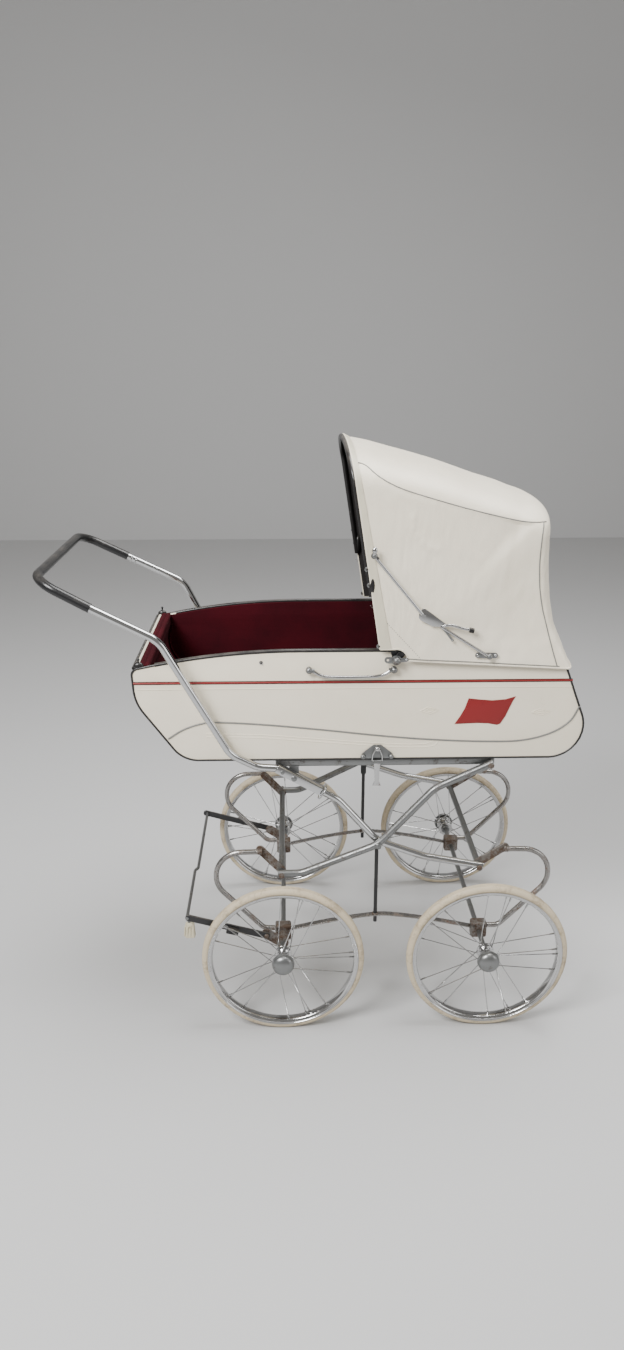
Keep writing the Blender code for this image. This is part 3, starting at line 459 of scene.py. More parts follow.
def turnedPiece(name, profile, place, finish, body=None, axis="Y", steps=64, angle=38):
    piece = startCurve(name, [[Vector((radius, along, 0)) for along, radius in profile]])
    choose(piece)
    bpy.ops.object.convert(target="MESH")
    bpy.ops.object.mode_set(mode="EDIT")
    bpy.ops.mesh.select_all(action="SELECT")
    bpy.ops.mesh.spin(steps=steps, angle=math.tau, center=(0, 0, 0), axis=(0, 1, 0))
    bpy.ops.object.mode_set(mode="OBJECT")
    if axis == "X":
        piece.rotation_euler = (0, 0, -math.pi / 2)
    elif axis == "Z":
        piece.rotation_euler = (math.pi / 2, 0, 0)
    piece.location = place
    return finishPiece(piece, finish, body, angle)


def flatPlate(name, outline, lowY, highY, finish, body=None, edge=0.0004, holes=()):
    piece = startCurve(name, [outline, *holes], flat=True, closed=True)  # outline as x, z pairs
    piece.data.fill_mode = "BOTH"
    piece.data.extrude = max(abs(highY - lowY) / 2 - edge, 0.0001)
    piece.data.bevel_depth = edge
    piece.data.bevel_resolution = 2
    piece.data.offset = -edge
    piece.rotation_euler = (math.pi / 2, 0, 0)
    piece.location = (0, (lowY + highY) / 2, 0)
    return finishPiece(piece, finish, body, 30)


def barBetween(name, start, stop, radius, finish, body=None, around=5):
    return bentTube(name, [[Vector(start), Vector(stop)]], radius, finish, body, around=around)


def ballAt(name, place, radius, finish, body=None, squash=(1, 1, 1)):
    bpy.ops.object.select_all(action="DESELECT")
    bpy.ops.mesh.primitive_uv_sphere_add(segments=28, ring_count=16, radius=radius, location=place)
    piece = bpy.context.object
    piece.name = name
    piece.scale = squash
    return finishPiece(piece, finish, body)


def joined(name, pieces, body=None, node=None):
    choose(*pieces)
    bpy.ops.object.join()
    piece = bpy.context.object
    piece.name = name
    if body:
        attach(piece, body)
    if node:
        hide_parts(node)
    return piece


def bevelEdges(offset, segments):  # rounds every edge of the active piece
    bpy.ops.object.mode_set(mode="EDIT")
    bpy.ops.mesh.select_all(action="SELECT")
    bpy.ops.mesh.bevel(offset=offset, segments=segments, affect="EDGES")
    bpy.ops.object.mode_set(mode="OBJECT")


def bevelledBox(place, size, bevel, segments=4, turn=0.0):
    bpy.ops.object.select_all(action="DESELECT")
    bpy.ops.mesh.primitive_cube_add(size=1, location=place, scale=size, rotation=(0, turn, 0))
    box = bpy.context.object
    bpy.ops.object.transform_apply(location=True, rotation=True, scale=True)
    bevelEdges(bevel, segments)
    return box


def linkOutline(start, stop, radius, steps=10):  # outline of a strip with round ends, as x, z pairs
    start = Vector(start)
    stop = Vector(stop)
    along = math.atan2(stop.y - start.y, stop.x - start.x)
    outline = []
    for centre, first in ((stop, along - math.pi / 2), (start, along + math.pi / 2)):
        for step in range(steps + 1):
            angle = first + math.pi * step / steps
            outline.append(centre + Vector((math.cos(angle), math.sin(angle))) * radius)
    return outline


def circleOutline(centre, radius, steps=20):
    return [Vector(centre)
        + Vector((math.cos(math.tau * step / steps), math.sin(math.tau * step / steps))) * radius
        for step in range(steps)]


def copyPiece(piece, name, turn, place):
    choose(piece)
    bpy.ops.object.duplicate(linked=False)
    twin = bpy.context.object
    twin.name = name
    twin.rotation_euler = (0, 0, turn)
    twin.location = place
    bpy.ops.object.transform_apply(location=True, rotation=True, scale=True)
    return twin


def discard(*pieces):
    choose(*pieces)
    bpy.ops.object.delete()


# ---- wheels: one is modelled, then copied to each axle end
wheel = {"x": 0.208, "y": 0.2817, "z": 0.165, "tyreTop": 0.1648, "halfWidth": 0.01, "bed": 0.148,
         "inner": 0.144, "lip": 0.153, "rimHalf": 0.0118, "hubHalf": 0.018, "flange": 0.0175,
         "spokes": 10, "phase": 0.11, "spoke": 0.00105, "dome": 0.022}


def makeWheel():
    top, half, seat = wheel["tyreTop"], wheel["halfWidth"], wheel["bed"] + 0.0003
    section = [(half * 0.86, seat), (half * 0.93, seat + 0.0035), (half, seat + 0.0062),
        (half * 1.02, seat + 0.0082),
        (half * 1.0, seat + 0.0098), (half * 0.93, seat + 0.0118), (half * 0.8, seat + 0.0138)]
    tread = [(half * 0.62, top - 0.001), (half * 0.5, top - 0.0004), (half * 0.46, top - 0.0011),
             (half * 0.4, top - 0.0011), (half * 0.36, top - 0.0001), (half * 0.1, top)]
    profile = section + tread
    profile = profile + [(-along, radius) for along, radius in reversed(profile)]
    tyre = turnedPiece("tyreModel", profile + profile[:1], (0, 0, 0), "tyre", steps=120)
    lip, inner, rimHalf = wheel["lip"], wheel["inner"], wheel["rimHalf"]
    edge = [(half + 0.0007, wheel["bed"] + 0.0006), (half + 0.0008, lip - 0.0006),
        (half + 0.0012, lip),
        (rimHalf - 0.0003, lip), (rimHalf, lip - 0.0006), (rimHalf - 0.0002, lip - 0.002),
        (rimHalf - 0.0016, lip - 0.0032), (rimHalf - 0.0026, inner + 0.0026),
        (rimHalf - 0.0036, inner + 0.0008), (rimHalf - 0.0052, inner), (0.002, inner - 0.0005)]
    loop = edge + [(-along, radius) for along, radius in reversed(edge)]
    rim = turnedPiece("rimModel", loop + loop[:1], (0, 0, 0), "chrome", steps=120)
    hubHalf, flange = wheel["hubHalf"], wheel["flange"]
    shell = [(hubHalf, 0.0059), (hubHalf, flange - 0.0008), (hubHalf - 0.0007, flange),
        (hubHalf - 0.0022, flange),
        (hubHalf - 0.003, flange - 0.0008), (hubHalf - 0.0036, 0.0122), (hubHalf - 0.0062, 0.01)]
    shell = shell + [(-along, radius) for along, radius in reversed(shell)]
    hub = turnedPiece("hubModel", shell + shell[:1], (0, 0, 0), "chrome", steps=48)
    spokes, nipples = [], []
    for flangeSide in (-1, 1):
        for number in range(wheel["spokes"]):
            angle = math.tau * (number + 0.5 * (flangeSide > 0)) / wheel["spokes"] + wheel["phase"]
            tip = angle + math.radians(62) * (1 if number % 2 else -1) * 0.75
            hubY = flangeSide * (hubHalf - 0.003 + (0.0024 if number % 2 else -0.0002))
            foot = Vector((math.cos(angle) * 0.015, hubY, math.sin(angle) * 0.015))
            head = Vector((math.cos(tip) * (inner + 0.0006), flangeSide * 0.003,
                math.sin(tip) * (inner + 0.0006)))
            spokes.append([foot, head])
            along = (head - foot).normalized()
            nipples.append([head - along * 0.0105, head - along * 0.003, head - along * 0.0026,
                head])
    wires = bentTube("spokeModel", spokes, wheel["spoke"], "chrome", around=2)
    caps = bentTube("nippleModel", nipples, 0.0019, "chrome", around=2)
    rim = joined("rimModel", [rim, hub, wires, caps])
    start, dome = hubHalf + 0.0003, wheel["dome"]
    arc = [(start + 0.0056 + 0.0122 * math.sin(turn), dome * math.cos(turn) ** 0.9)
           for turn in (math.pi / 2 * step / 12 for step in range(12))]
    capShape = [(start + 0.006, dome - 0.003), (start, dome - 0.0028), (start, dome + 0.0006),
        (start + 0.001, dome + 0.001), (start + 0.0022, dome + 0.0006),
        (start + 0.0028, dome - 0.0004), *arc, (start + 0.0178, 0.0)]
    cap = turnedPiece("capModel", capShape, (0, 0, 0), "greySteel", steps=56)
    for end, endSign in ends.items():
        for side, out in sides.items():
            label = end + "_" + side
            place = at(endSign * wheel["x"], out * wheel["y"], wheel["z"])
            for model, node in ((tyre, "tyre_"), (rim, "rim_"), (cap, "hub_cap_")):
                twin = copyPiece(model, node + label + "_seen", 0 if out > 0 else math.pi, place)
                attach(twin, "wheel_" + label)
                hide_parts(node + label)
    discard(tyre, rim, cap)
    print("wheels ready")


# ---- axles, brackets, strips and springs
under = {"axle": 0.0054, "axleEnd": 0.3035, "collar": 0.01, "springY": 0.1915, "spring": 0.0055,
    "springFoot": 0.178, "springTop": 0.36, "stripY": 0.185, "strip": 0.007, "stripEnd": 0.1907}


def onSides(points, out):  # design x, z pairs with a y, for one side
    return [at(x, out * y, z) for x, y, z in points]


def makeAxle(end, endSign):
    collarY = wheel["y"] - wheel["hubHalf"] - 0.0003
    half = [(under["axleEnd"], 0.0), (under["axleEnd"], under["axle"] - 0.0008),
        (under["axleEnd"] - 0.0008, under["axle"]),
        (collarY, under["axle"]), (collarY, under["collar"] - 0.0006),
        (collarY - 0.0006, under["collar"]),
        (collarY - 0.0044, under["collar"]), (collarY - 0.005, under["collar"] - 0.0006),
        (collarY - 0.005, under["axle"])]
    profile = half + [(-along, radius) for along, radius in reversed(half)]
    axle = turnedPiece("axle_" + end + "_seen", profile, at(endSign * wheel["x"], 0, wheel["z"]),
        "greySteel", "undercarriage", steps=32)
    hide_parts("axle_" + end)


def makeBracket(end, endSign, side, out):
    x = endSign * wheel["x"]
    saddle = bevelledBox(at(x, out * 0.186, 0.168), (0.0336, 0.0236, 0.0356), 0.0042)
    pieces = [finishPiece(saddle, "rusty")]
    for dx in (-0.0125, 0.0125):  # clamp bolts through the saddle
        pieces.append(turnedPiece("bolt", [(0.0, 0.0), (0.0, 0.0036), (0.003, 0.0034),
            (0.0036, 0.0022), (0.0038, 0.0)], at(x + dx, out * 0.1978, 0.1785), "rusty", steps=24))
    if end == "rear":
        sleeve = [(0.0, 0.0058), (0.0, 0.0104), (0.0006, 0.011), (0.0384, 0.011), (0.039, 0.0104),
            (0.039, 0.0058)]
        sleeve = sleeve if out > 0 else [(-along, radius) for along, radius in sleeve]
        pieces.append(turnedPiece("sleeve", sleeve, at(x, out * 0.19, wheel["z"]), "rusty",
            steps=32))
        lug = linkOutline((mid + x, wheel["z"]), (mid - 0.242, 0.188), 0.0113)
        pieces.append(flatPlate("lug", lug, *sorted((out * 0.2267, out * 0.2298)), "rusty"))
        pieces.append(barBetween("stud", at(-0.242, out * 0.229, 0.188),
            at(-0.242, out * 0.2408, 0.188), 0.003, "rusty"))
    joined("axleBracket_" + end + "_" + side, pieces, "undercarriage", "axle_bracket_" + end + "_"
        + side)


def makeStrip(side, out):
    stations = [under["stripEnd"] * (1 - step / 16) for step in range(33)]
    line = [(x, 0.172 + 0.033 * (1 - (abs(x) / under["stripEnd"]) ** 1.4)) for x in stations]
    outline = [(mid + x, z + 0.0014) for x, z in line] + [(mid + x, z - 0.0014)
        for x, z in reversed(line)]
    y = out * under["stripY"]
    strip = flatPlate("tieStrip_" + side, outline, y - under["strip"], y + under["strip"],
        "springSteel", edge=0.0006)
    collar = turnedPiece("postCollar", [(-0.001, 0.0046), (-0.001, 0.0068), (0.0014, 0.0068),
        (0.002, 0.006), (0.002, 0.0046)], at(-0.013, y, 0.2062), "rusty", axis="Z", steps=28)
    joined("tieStrip_" + side, [strip, collar], "undercarriage", "tie_strip_" + side)


def makeSpring(end, endSign, side, out):
    corners = [(0.2254, 0.178), (0.248, 0.178), (0.347, 0.282), (0.343, 0.358), (0.25, 0.36)]
    path = roundedPath(onSides([(endSign * x, under["springY"], z) for x, z in corners], out),
                       [0.022, 0.055, 0.054], 16)
    dense = [path[0]]
    for here in path[1:]:  # the long straight runs carry rings too, so that the spring bends evenly
        count = max(1, int((here - dense[-1]).length / 0.006))
        dense += [dense[-1].lerp(here, (step + 1) / count) for step in range(count)]
    spring = bentTube("spring_" + end + "_" + side, [dense], under["spring"], "springSteel",
        around=6)
    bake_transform(spring, "undercarriage", "chassis", (0, 0, under["springFoot"]),
        (0, 0, under["springTop"]))
    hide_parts("c_spring_" + end + "_" + side)


def makeUndercarriage():
    for end, endSign in ends.items():
        makeAxle(end, endSign)
        for side, out in sides.items():
            makeBracket(end, endSign, side, out)
            makeSpring(end, endSign, side, out)
    for side, out in sides.items():
        makeStrip(side, out)
    print("undercarriage ready")


# ---- chassis: crossed arms, tubes, rails, posts, the folding handle and the brake
chassis = {"armY": 0.1975, "arm": 0.0075, "crossX": -0.013, "crossZ": 0.384, "foldX": -0.183,
    "foldZ": 0.531, "slope": math.radians(30), "railY": 0.1815, "railZ": 0.5564, "railHalf": 0.008,
    "handle": 0.0076, "gripStart": -0.55, "grip": 0.0096}


def hexNut(name, place, radius, thick, finish):
    bpy.ops.object.select_all(action="DESELECT")
    bpy.ops.mesh.primitive_cylinder_add(vertices=6, radius=radius, depth=thick, location=place,
                                        rotation=(math.pi / 2, 0, 0))
    nut = bpy.context.object
    nut.name = name
    bevelEdges(0.0006, 2)
    return finishPiece(nut, finish)


def domeHead(name, place, out, radius, height, finish):
    profile = [(0.0, 0.0), (0.0, radius), (height * 0.35, radius * 0.96),
        (height * 0.75, radius * 0.66), (height, 0.0)]
    profile = profile if out > 0 else [(-along, size) for along, size in profile]
    return turnedPiece(name, profile, place, finish, steps=24)


def makeCrossTube(end, endSign):
    x, z = (-0.21, 0.312) if end == "rear" else (0.199, 0.324)
    pieces = [barBetween("tube", at(x, -0.1885, z), at(x, 0.1885, z), 0.0065, "greySteel",
        around=7)]
    for out in (1, -1):
        link = linkOutline((mid + x, z), (mid + endSign * 0.254, 0.36), 0.0088)
        pieces.append(flatPlate("shackle", link, *sorted((out * 0.1807, out * 0.1853)), "rusty",
            edge=0.0008))
        pieces.append(barBetween("stud", at(x, out * 0.186, z), at(x, out * 0.2083, z), 0.0034,
            "greySteel"))
        pieces.append(hexNut("nut", at(x, out * 0.2075, z), 0.0064, 0.0038, "rusty"))
        pieces.append(domeHead("rivet", at(endSign * 0.254, out * 0.1853, 0.36), out, 0.005, 0.0018,
            "rusty"))
        for turn in range(3):  # the wire that ties the shackle to the spring's end
            spot = at(endSign * (0.2505 + turn * 0.0034), out * 0.1915, 0.36)
            pieces.append(turnedPiece("wire", [(math.cos(step * math.tau / 10) * 0.0009,
                0.0061 + math.sin(step * math.tau / 10) * 0.0009) for step in range(11)],
                spot, "rusty", axis="X", steps=20))
    joined("crossTube_" + end, pieces, "chassis", "cross_tube_" + end)


def makeArms(side, out):
    armY, cx, cz = chassis["armY"], chassis["crossX"], chassis["crossZ"]
    handleSide = roundedPath(onSides([(chassis["foldX"], armY, chassis["foldZ"]),
        (-0.095, armY, 0.48), (cx, armY - 0.003, cz), (0.085, armY, 0.348), (0.207, armY, 0.324)],
        out), [0.07, 0.06, 0.12], 14)
    arm = bentTube("handleArm_" + side, [handleSide], chassis["arm"], "handleChrome", around=7)
    tip = ballAt("tip", at(chassis["foldX"], out * armY, chassis["foldZ"]), chassis["arm"],
        "handleChrome")
    joined("handleArm_" + side, [arm, tip], "chassis", "frame_arm_handle_" + side)
    railSide = roundedPath(onSides([(0.215, armY, 0.557), (0.1, armY + 0.004, 0.505),
        (cx, armY + 0.0132, cz), (-0.17, armY, 0.312), (-0.218, armY, 0.312)], out),
        [0.08, 0.09, 0.06], 14)
    arm = bentTube("railArm_" + side, [railSide], chassis["arm"], "greySteel", "chassis", around=7)
    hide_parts("frame_arm_rail_" + side)
    y = out * 0.185
    post = barBetween("post", at(cx, y, 0.187), at(cx, y, cz - 0.008), 0.004, "blackSteel",
        around=5)
    tab = flatPlate("tab", linkOutline((mid + cx, cz - 0.02), (mid + cx, cz), 0.0065),
                    *sorted((out * 0.182, out * 0.1862)), "blackSteel", edge=0.0008)
    pin = barBetween("pin", at(cx, out * 0.183, cz), at(cx, out * 0.221, cz), 0.0035, "blackSteel")
    head = domeHead("head", at(cx, out * 0.2192, cz), out, 0.0064, 0.004, "greySteel")
    joined("guidePost_" + side, [post, tab, pin, head], "chassis", "guide_post_" + side)


def makeRail(side, out):
    y, z, half = out * chassis["railY"], chassis["railZ"], chassis["railHalf"]
    bar = bevelledBox(at(0, y, z), (0.44, 0.012, half * 2), 0.0034)
    pieces = [finishPiece(bar, "greySteel")]
    pieces.append(flatPlate("lug",
        linkOutline((mid + chassis["foldX"], z), (mid + chassis["foldX"], chassis["foldZ"]),
        0.0098), *sorted((out * 0.1767, out * 0.1863)), "greySteel", edge=0.0008))
    pieces.append(barBetween("stud", at(0.209, out * 0.186, 0.5545),
        at(0.209, out * 0.2083, 0.5545), 0.0034, "greySteel"))
    pieces.append(hexNut("nut", at(0.209, out * 0.2075, 0.5545), 0.0064, 0.0038, "rusty"))
    for x in (-0.215, 0.215):  # end caps
        pieces.append(turnedPiece("cap", [(-0.002, 0.0), (-0.002, 0.0048), (0.0, 0.0056),
            (0.002, 0.0048), (0.002, 0.0)], at(x, y, z), "greySteel", axis="X", steps=20))
    joined("cotRail_" + side, pieces, "chassis", "cot_rail_" + side)


def makeChannel(side, out):
    slope, armY = chassis["slope"], chassis["armY"]
    inner, wall = chassis["arm"] + 0.0006, 0.0014
    outer = inner + wall
    outline = [(-outer, -inner + 0.001), (-outer, outer - 0.003), (-outer + 0.0006, outer - 0.0012),
        (-outer + 0.0026, outer), (outer - 0.0026, outer), (outer - 0.0006, outer - 0.0012),
        (outer, outer - 0.003), (outer, -inner + 0.001), (inner, -inner + 0.001),
        (inner, inner - 0.0012),
        (inner - 0.0014, inner), (-inner + 0.0014, inner), (-inner, inner - 0.0012),
        (-inner, -inner + 0.001)]
    channel = flatPlate("channel", outline, -0.04, 0.066, "handleChrome", edge=0.0003)
    choose(channel)  # drawn along y, then turned to lie along the arm
    aim = Vector((math.cos(slope), 0, -math.sin(slope)))
    channel.matrix_world = Matrix.Translation(at(chassis["foldX"], out * armY,
        chassis["foldZ"])) @ Matrix(((0, aim.x, math.sin(slope), 0), (1, 0, 0, 0),
        (0, aim.z, math.cos(slope), 0), (0, 0, 0, 1)))
    channel = finishPiece(channel, "handleChrome", angle=30)
    pivot = (chassis["foldX"], chassis["foldZ"])
    pin = barBetween("rivet", at(pivot[0], out * 0.1735, pivot[1]),
        at(pivot[0], out * 0.208, pivot[1]), 0.0034, "greySteel")
    head = domeHead("head", at(pivot[0], out * 0.2072, pivot[1]), out, 0.006, 0.003, "greySteel")
    tail = domeHead("tail", at(pivot[0], out * 0.176, pivot[1]), -out, 0.0056, 0.0024, "greySteel")
    second = domeHead("second", at(pivot[0] - 0.023, out * 0.207, pivot[1] + 0.0133), out, 0.0042,
        0.002, "greySteel")
    joined("channel_" + side, [channel, pin, head, tail, second], "handle",
        "handle_channel_" + side)
    reach = 0.0655
    centre = at(pivot[0] + reach * math.cos(slope), out * armY, pivot[1] - reach * math.sin(slope))
    ring = turnedPiece("ring",
        [(math.cos(step * math.tau / 10) * 0.0015, 0.016 + math.sin(step * math.tau / 10) * 0.0015)
        for step in range(11)], (0, 0, 0), "handleChrome", axis="X", steps=60)
    ring.rotation_euler = (0, slope, 0)
    ring.location = centre
    ring = finishPiece(ring, "handleChrome", "lock_ring_" + side)
    ring.name = "lockRing_" + side
    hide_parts("lock_ring_" + side)


def makeHandle():
    slope = chassis["slope"]
    back = Vector((-math.cos(slope), 0, math.sin(slope)))
    mouth = Vector((chassis["foldX"], 0, chassis["foldZ"])) + back * 0.01
    leaving = mouth + back * 0.027
    half = [(mouth.x, chassis["armY"], mouth.z), (leaving.x, chassis["armY"], leaving.z),
        (-0.255, 0.2, 0.5535), (-0.308, 0.209, 0.585), (-0.434, 0.236, 0.828), (-0.56, 0.23, 0.891),
        (-0.659, 0.22, 0.942)]
    corners = [at(*point) for point in half + [(x, -y, z) for x, y, z in reversed(half)]]
    radii = [0.04, 0.05, 0.06, 0.06, 0.15, 0.05]
    path = roundedPath(corners, radii + radii[::-1], 14)
    tube = bentTube("handleTube", [path], chassis["handle"], "handleChrome", "handle", around=7)
    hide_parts("push_handle")
    covered = [point for point in path if point.x < mid + chassis["gripStart"]]
    dense = [covered[0]]
    for here in covered[1:]:
        count = max(1, int((here - dense[-1]).length / 0.004))
        dense += [dense[-1].lerp(here, (step + 1) / count) for step in range(count)]
    grip = bentTube("handleGrip", [dense], chassis["grip"] - 0.0004, "grip", around=7)
    collars = []
    for number, span in ((0, 3), (-1, 3)):
        run = dense[:span] if number == 0 else dense[-span:]
        collars.append(bentTube("collar", [run], chassis["grip"] - 0.0001, "grip", around=7))
    joined("handleGrip", [grip, *collars], "handle", "handle_grip")
    spot = dense[0].lerp(dense[1], 0.5)  # spring clip on the far tube, where the grip ends
    away = (dense[0] - dense[3]).normalized()
    base = spot + away * 0.006 + Vector((0, 0.0001, 0))
    loops = []
    for shift in (0.004, 0.014):
        centre = base + away * shift
        across = away.cross(Vector((0, 1, 0))).normalized()
        loops.append([centre + Vector((0, 1, 0)) * math.cos(turn) * 0.0088 + across
            * math.sin(turn) * 0.0088 for turn in (math.tau * step / 24 for step in range(25))])
    clipPiece = bentTube("handleClip", loops, 0.0011, "handleChrome", "handle", around=3)
    clipPiece.name = "handleClip"
    for side, out in sides.items():
        makeChannel(side, out)


brake = {"x": -0.405, "z": 0.233, "jog": 0.006, "reach": 0.2385, "bar": 0.0035, "pivotX": -0.242,
         "pivotZ": 0.188, "shoeX": -0.312, "shoeZ": 0.206, "shoe": (0.0256, 0.0176, 0.0096)}


def makeBrake():
    x, z, jog = brake["x"], brake["z"], brake["jog"]
    pivotX, pivotZ, reach = brake["pivotX"], brake["pivotZ"], brake["reach"]
    bend = roundedPath([at(x, -reach, z), at(x, -0.045, z), at(x + jog, -0.035, z),
        at(x + jog, reach, z)], [0.01, 0.01], 8)
    pieces = [bentTube("bar", [bend], brake["bar"], "greySteel", around=5)]
    for out in (1, -1):
        link = linkOutline((mid + pivotX, pivotZ), (mid + x + jog / 2, z), 0.0069)
        pieces.append(flatPlate("arm", link, *sorted((out * 0.2327, out * 0.2373)), "blackSteel",
            edge=0.0008))
        pieces.append(domeHead("pin", at(pivotX, out * 0.2375, pivotZ), out, 0.0054, 0.003,
            "rusty"))
        shoe = bevelledBox(at(brake["shoeX"], out * 0.243, brake["shoeZ"]), brake["shoe"], 0.0022,
            3, 0.27)
        pieces.append(finishPiece(shoe, "blackSteel"))
    pieces.append(barBetween("stem", at(x, -0.218, z), at(x + 0.002, -0.2195, 0.213), 0.0034,
        "greySteel"))
    joined("brakeBar", pieces, "brake", "brake_bar")
    outline = roundedPath([(mid - 0.402, 0, 0.2122), (mid - 0.393, 0, 0.2122),
        (mid - 0.3902, 0, 0.1762),
        (mid - 0.4138, 0, 0.1762), (mid - 0.411, 0, 0.2122), (mid - 0.402, 0, 0.2122)],
        [0.006, 0.006, 0.006, 0.006], 6)[:-1]
    pad = flatPlate("pad", [(p.x, p.z) for p in outline], -0.2246, -0.2134, "pedal", edge=0.0022)
    ribs = [barBetween("rib", at(x - 0.0065 + rib * 0.0058, -0.225, 0.2045),
        at(x - 0.0085 + rib * 0.0062, -0.225, 0.183), 0.0013, "pedal") for rib in range(4)]
    joined("brakePedal", [pad, *ribs], "brake", "brake_pedal")
    print("chassis ready")


def makeChassis():
    for end, endSign in ends.items():
        makeCrossTube(end, endSign)
    for side, out in sides.items():
        makeArms(side, out)
        makeRail(side, out)
    makeHandle()
    makeBrake()


# ---- cot: leathercloth body, piping, painted lines, lining and mattress
cot = {"halfWidth": 0.195, "rimTop": 0.793, "rimFall": 0.347, "rimFrom": -0.17, "rimTo": 0.05,
    "floor": 0.5675, "wall": 0.008, "liner": 0.004, "piping": 0.0023, "mattressTop": 0.622,
    "redZ": 0.73}


def rimHeight(x):
    past = max(cot["rimFrom"] - x, 0, x - cot["rimTo"])
    return cot["rimTop"] - cot["rimFall"] * past ** 2


def shellPath():  # from the hood end's top, round below, to the foot end's top
    return roundedPath([(x, 0, z) for x, z in ((0.344, rimHeight(0.344)), (0.4205, 0.5675),
        (-0.402, 0.5675), (-0.4905, 0.69), (-0.4945, 0.757), (-0.4655, 0.763))],
        [0.066, 0.06, 0.09, 0.014], 14)


def cavityPath():
    return roundedPath([(x, 0, z) for x, z in ((0.335, rimHeight(0.335)), (0.335, 0.76),
        (0.409, 0.5765), (-0.398, 0.5765), (-0.481, 0.69), (-0.466, 0.742), (-0.466, 0.7625))],
        [0.008, 0.058, 0.052, 0.08, 0.014], 14)


def offsetPath(path, distance):  # moved towards the inside of a path that runs hood end to foot end
    moved = []
    for number, point in enumerate(path):
        run = path[min(number + 1, len(path) - 1)] - path[max(number - 1, 0)]
        moved.append(point + Vector((run.z, 0, -run.x)).normalized() * distance)
    return moved


def withRim(path, drop, steps=48):
    start, stop = path[-1].x, path[0].x
    rim = [start + (stop - start) * step / steps for step in range(1, steps)]
    return path + [Vector((x, 0, rimHeight(x) - drop)) for x in rim]


def flat(path):
    return [(mid + point.x, point.z) for point in path]


def lineOnSide(points, y):
    return [at(x, y, z) for x, z in points]


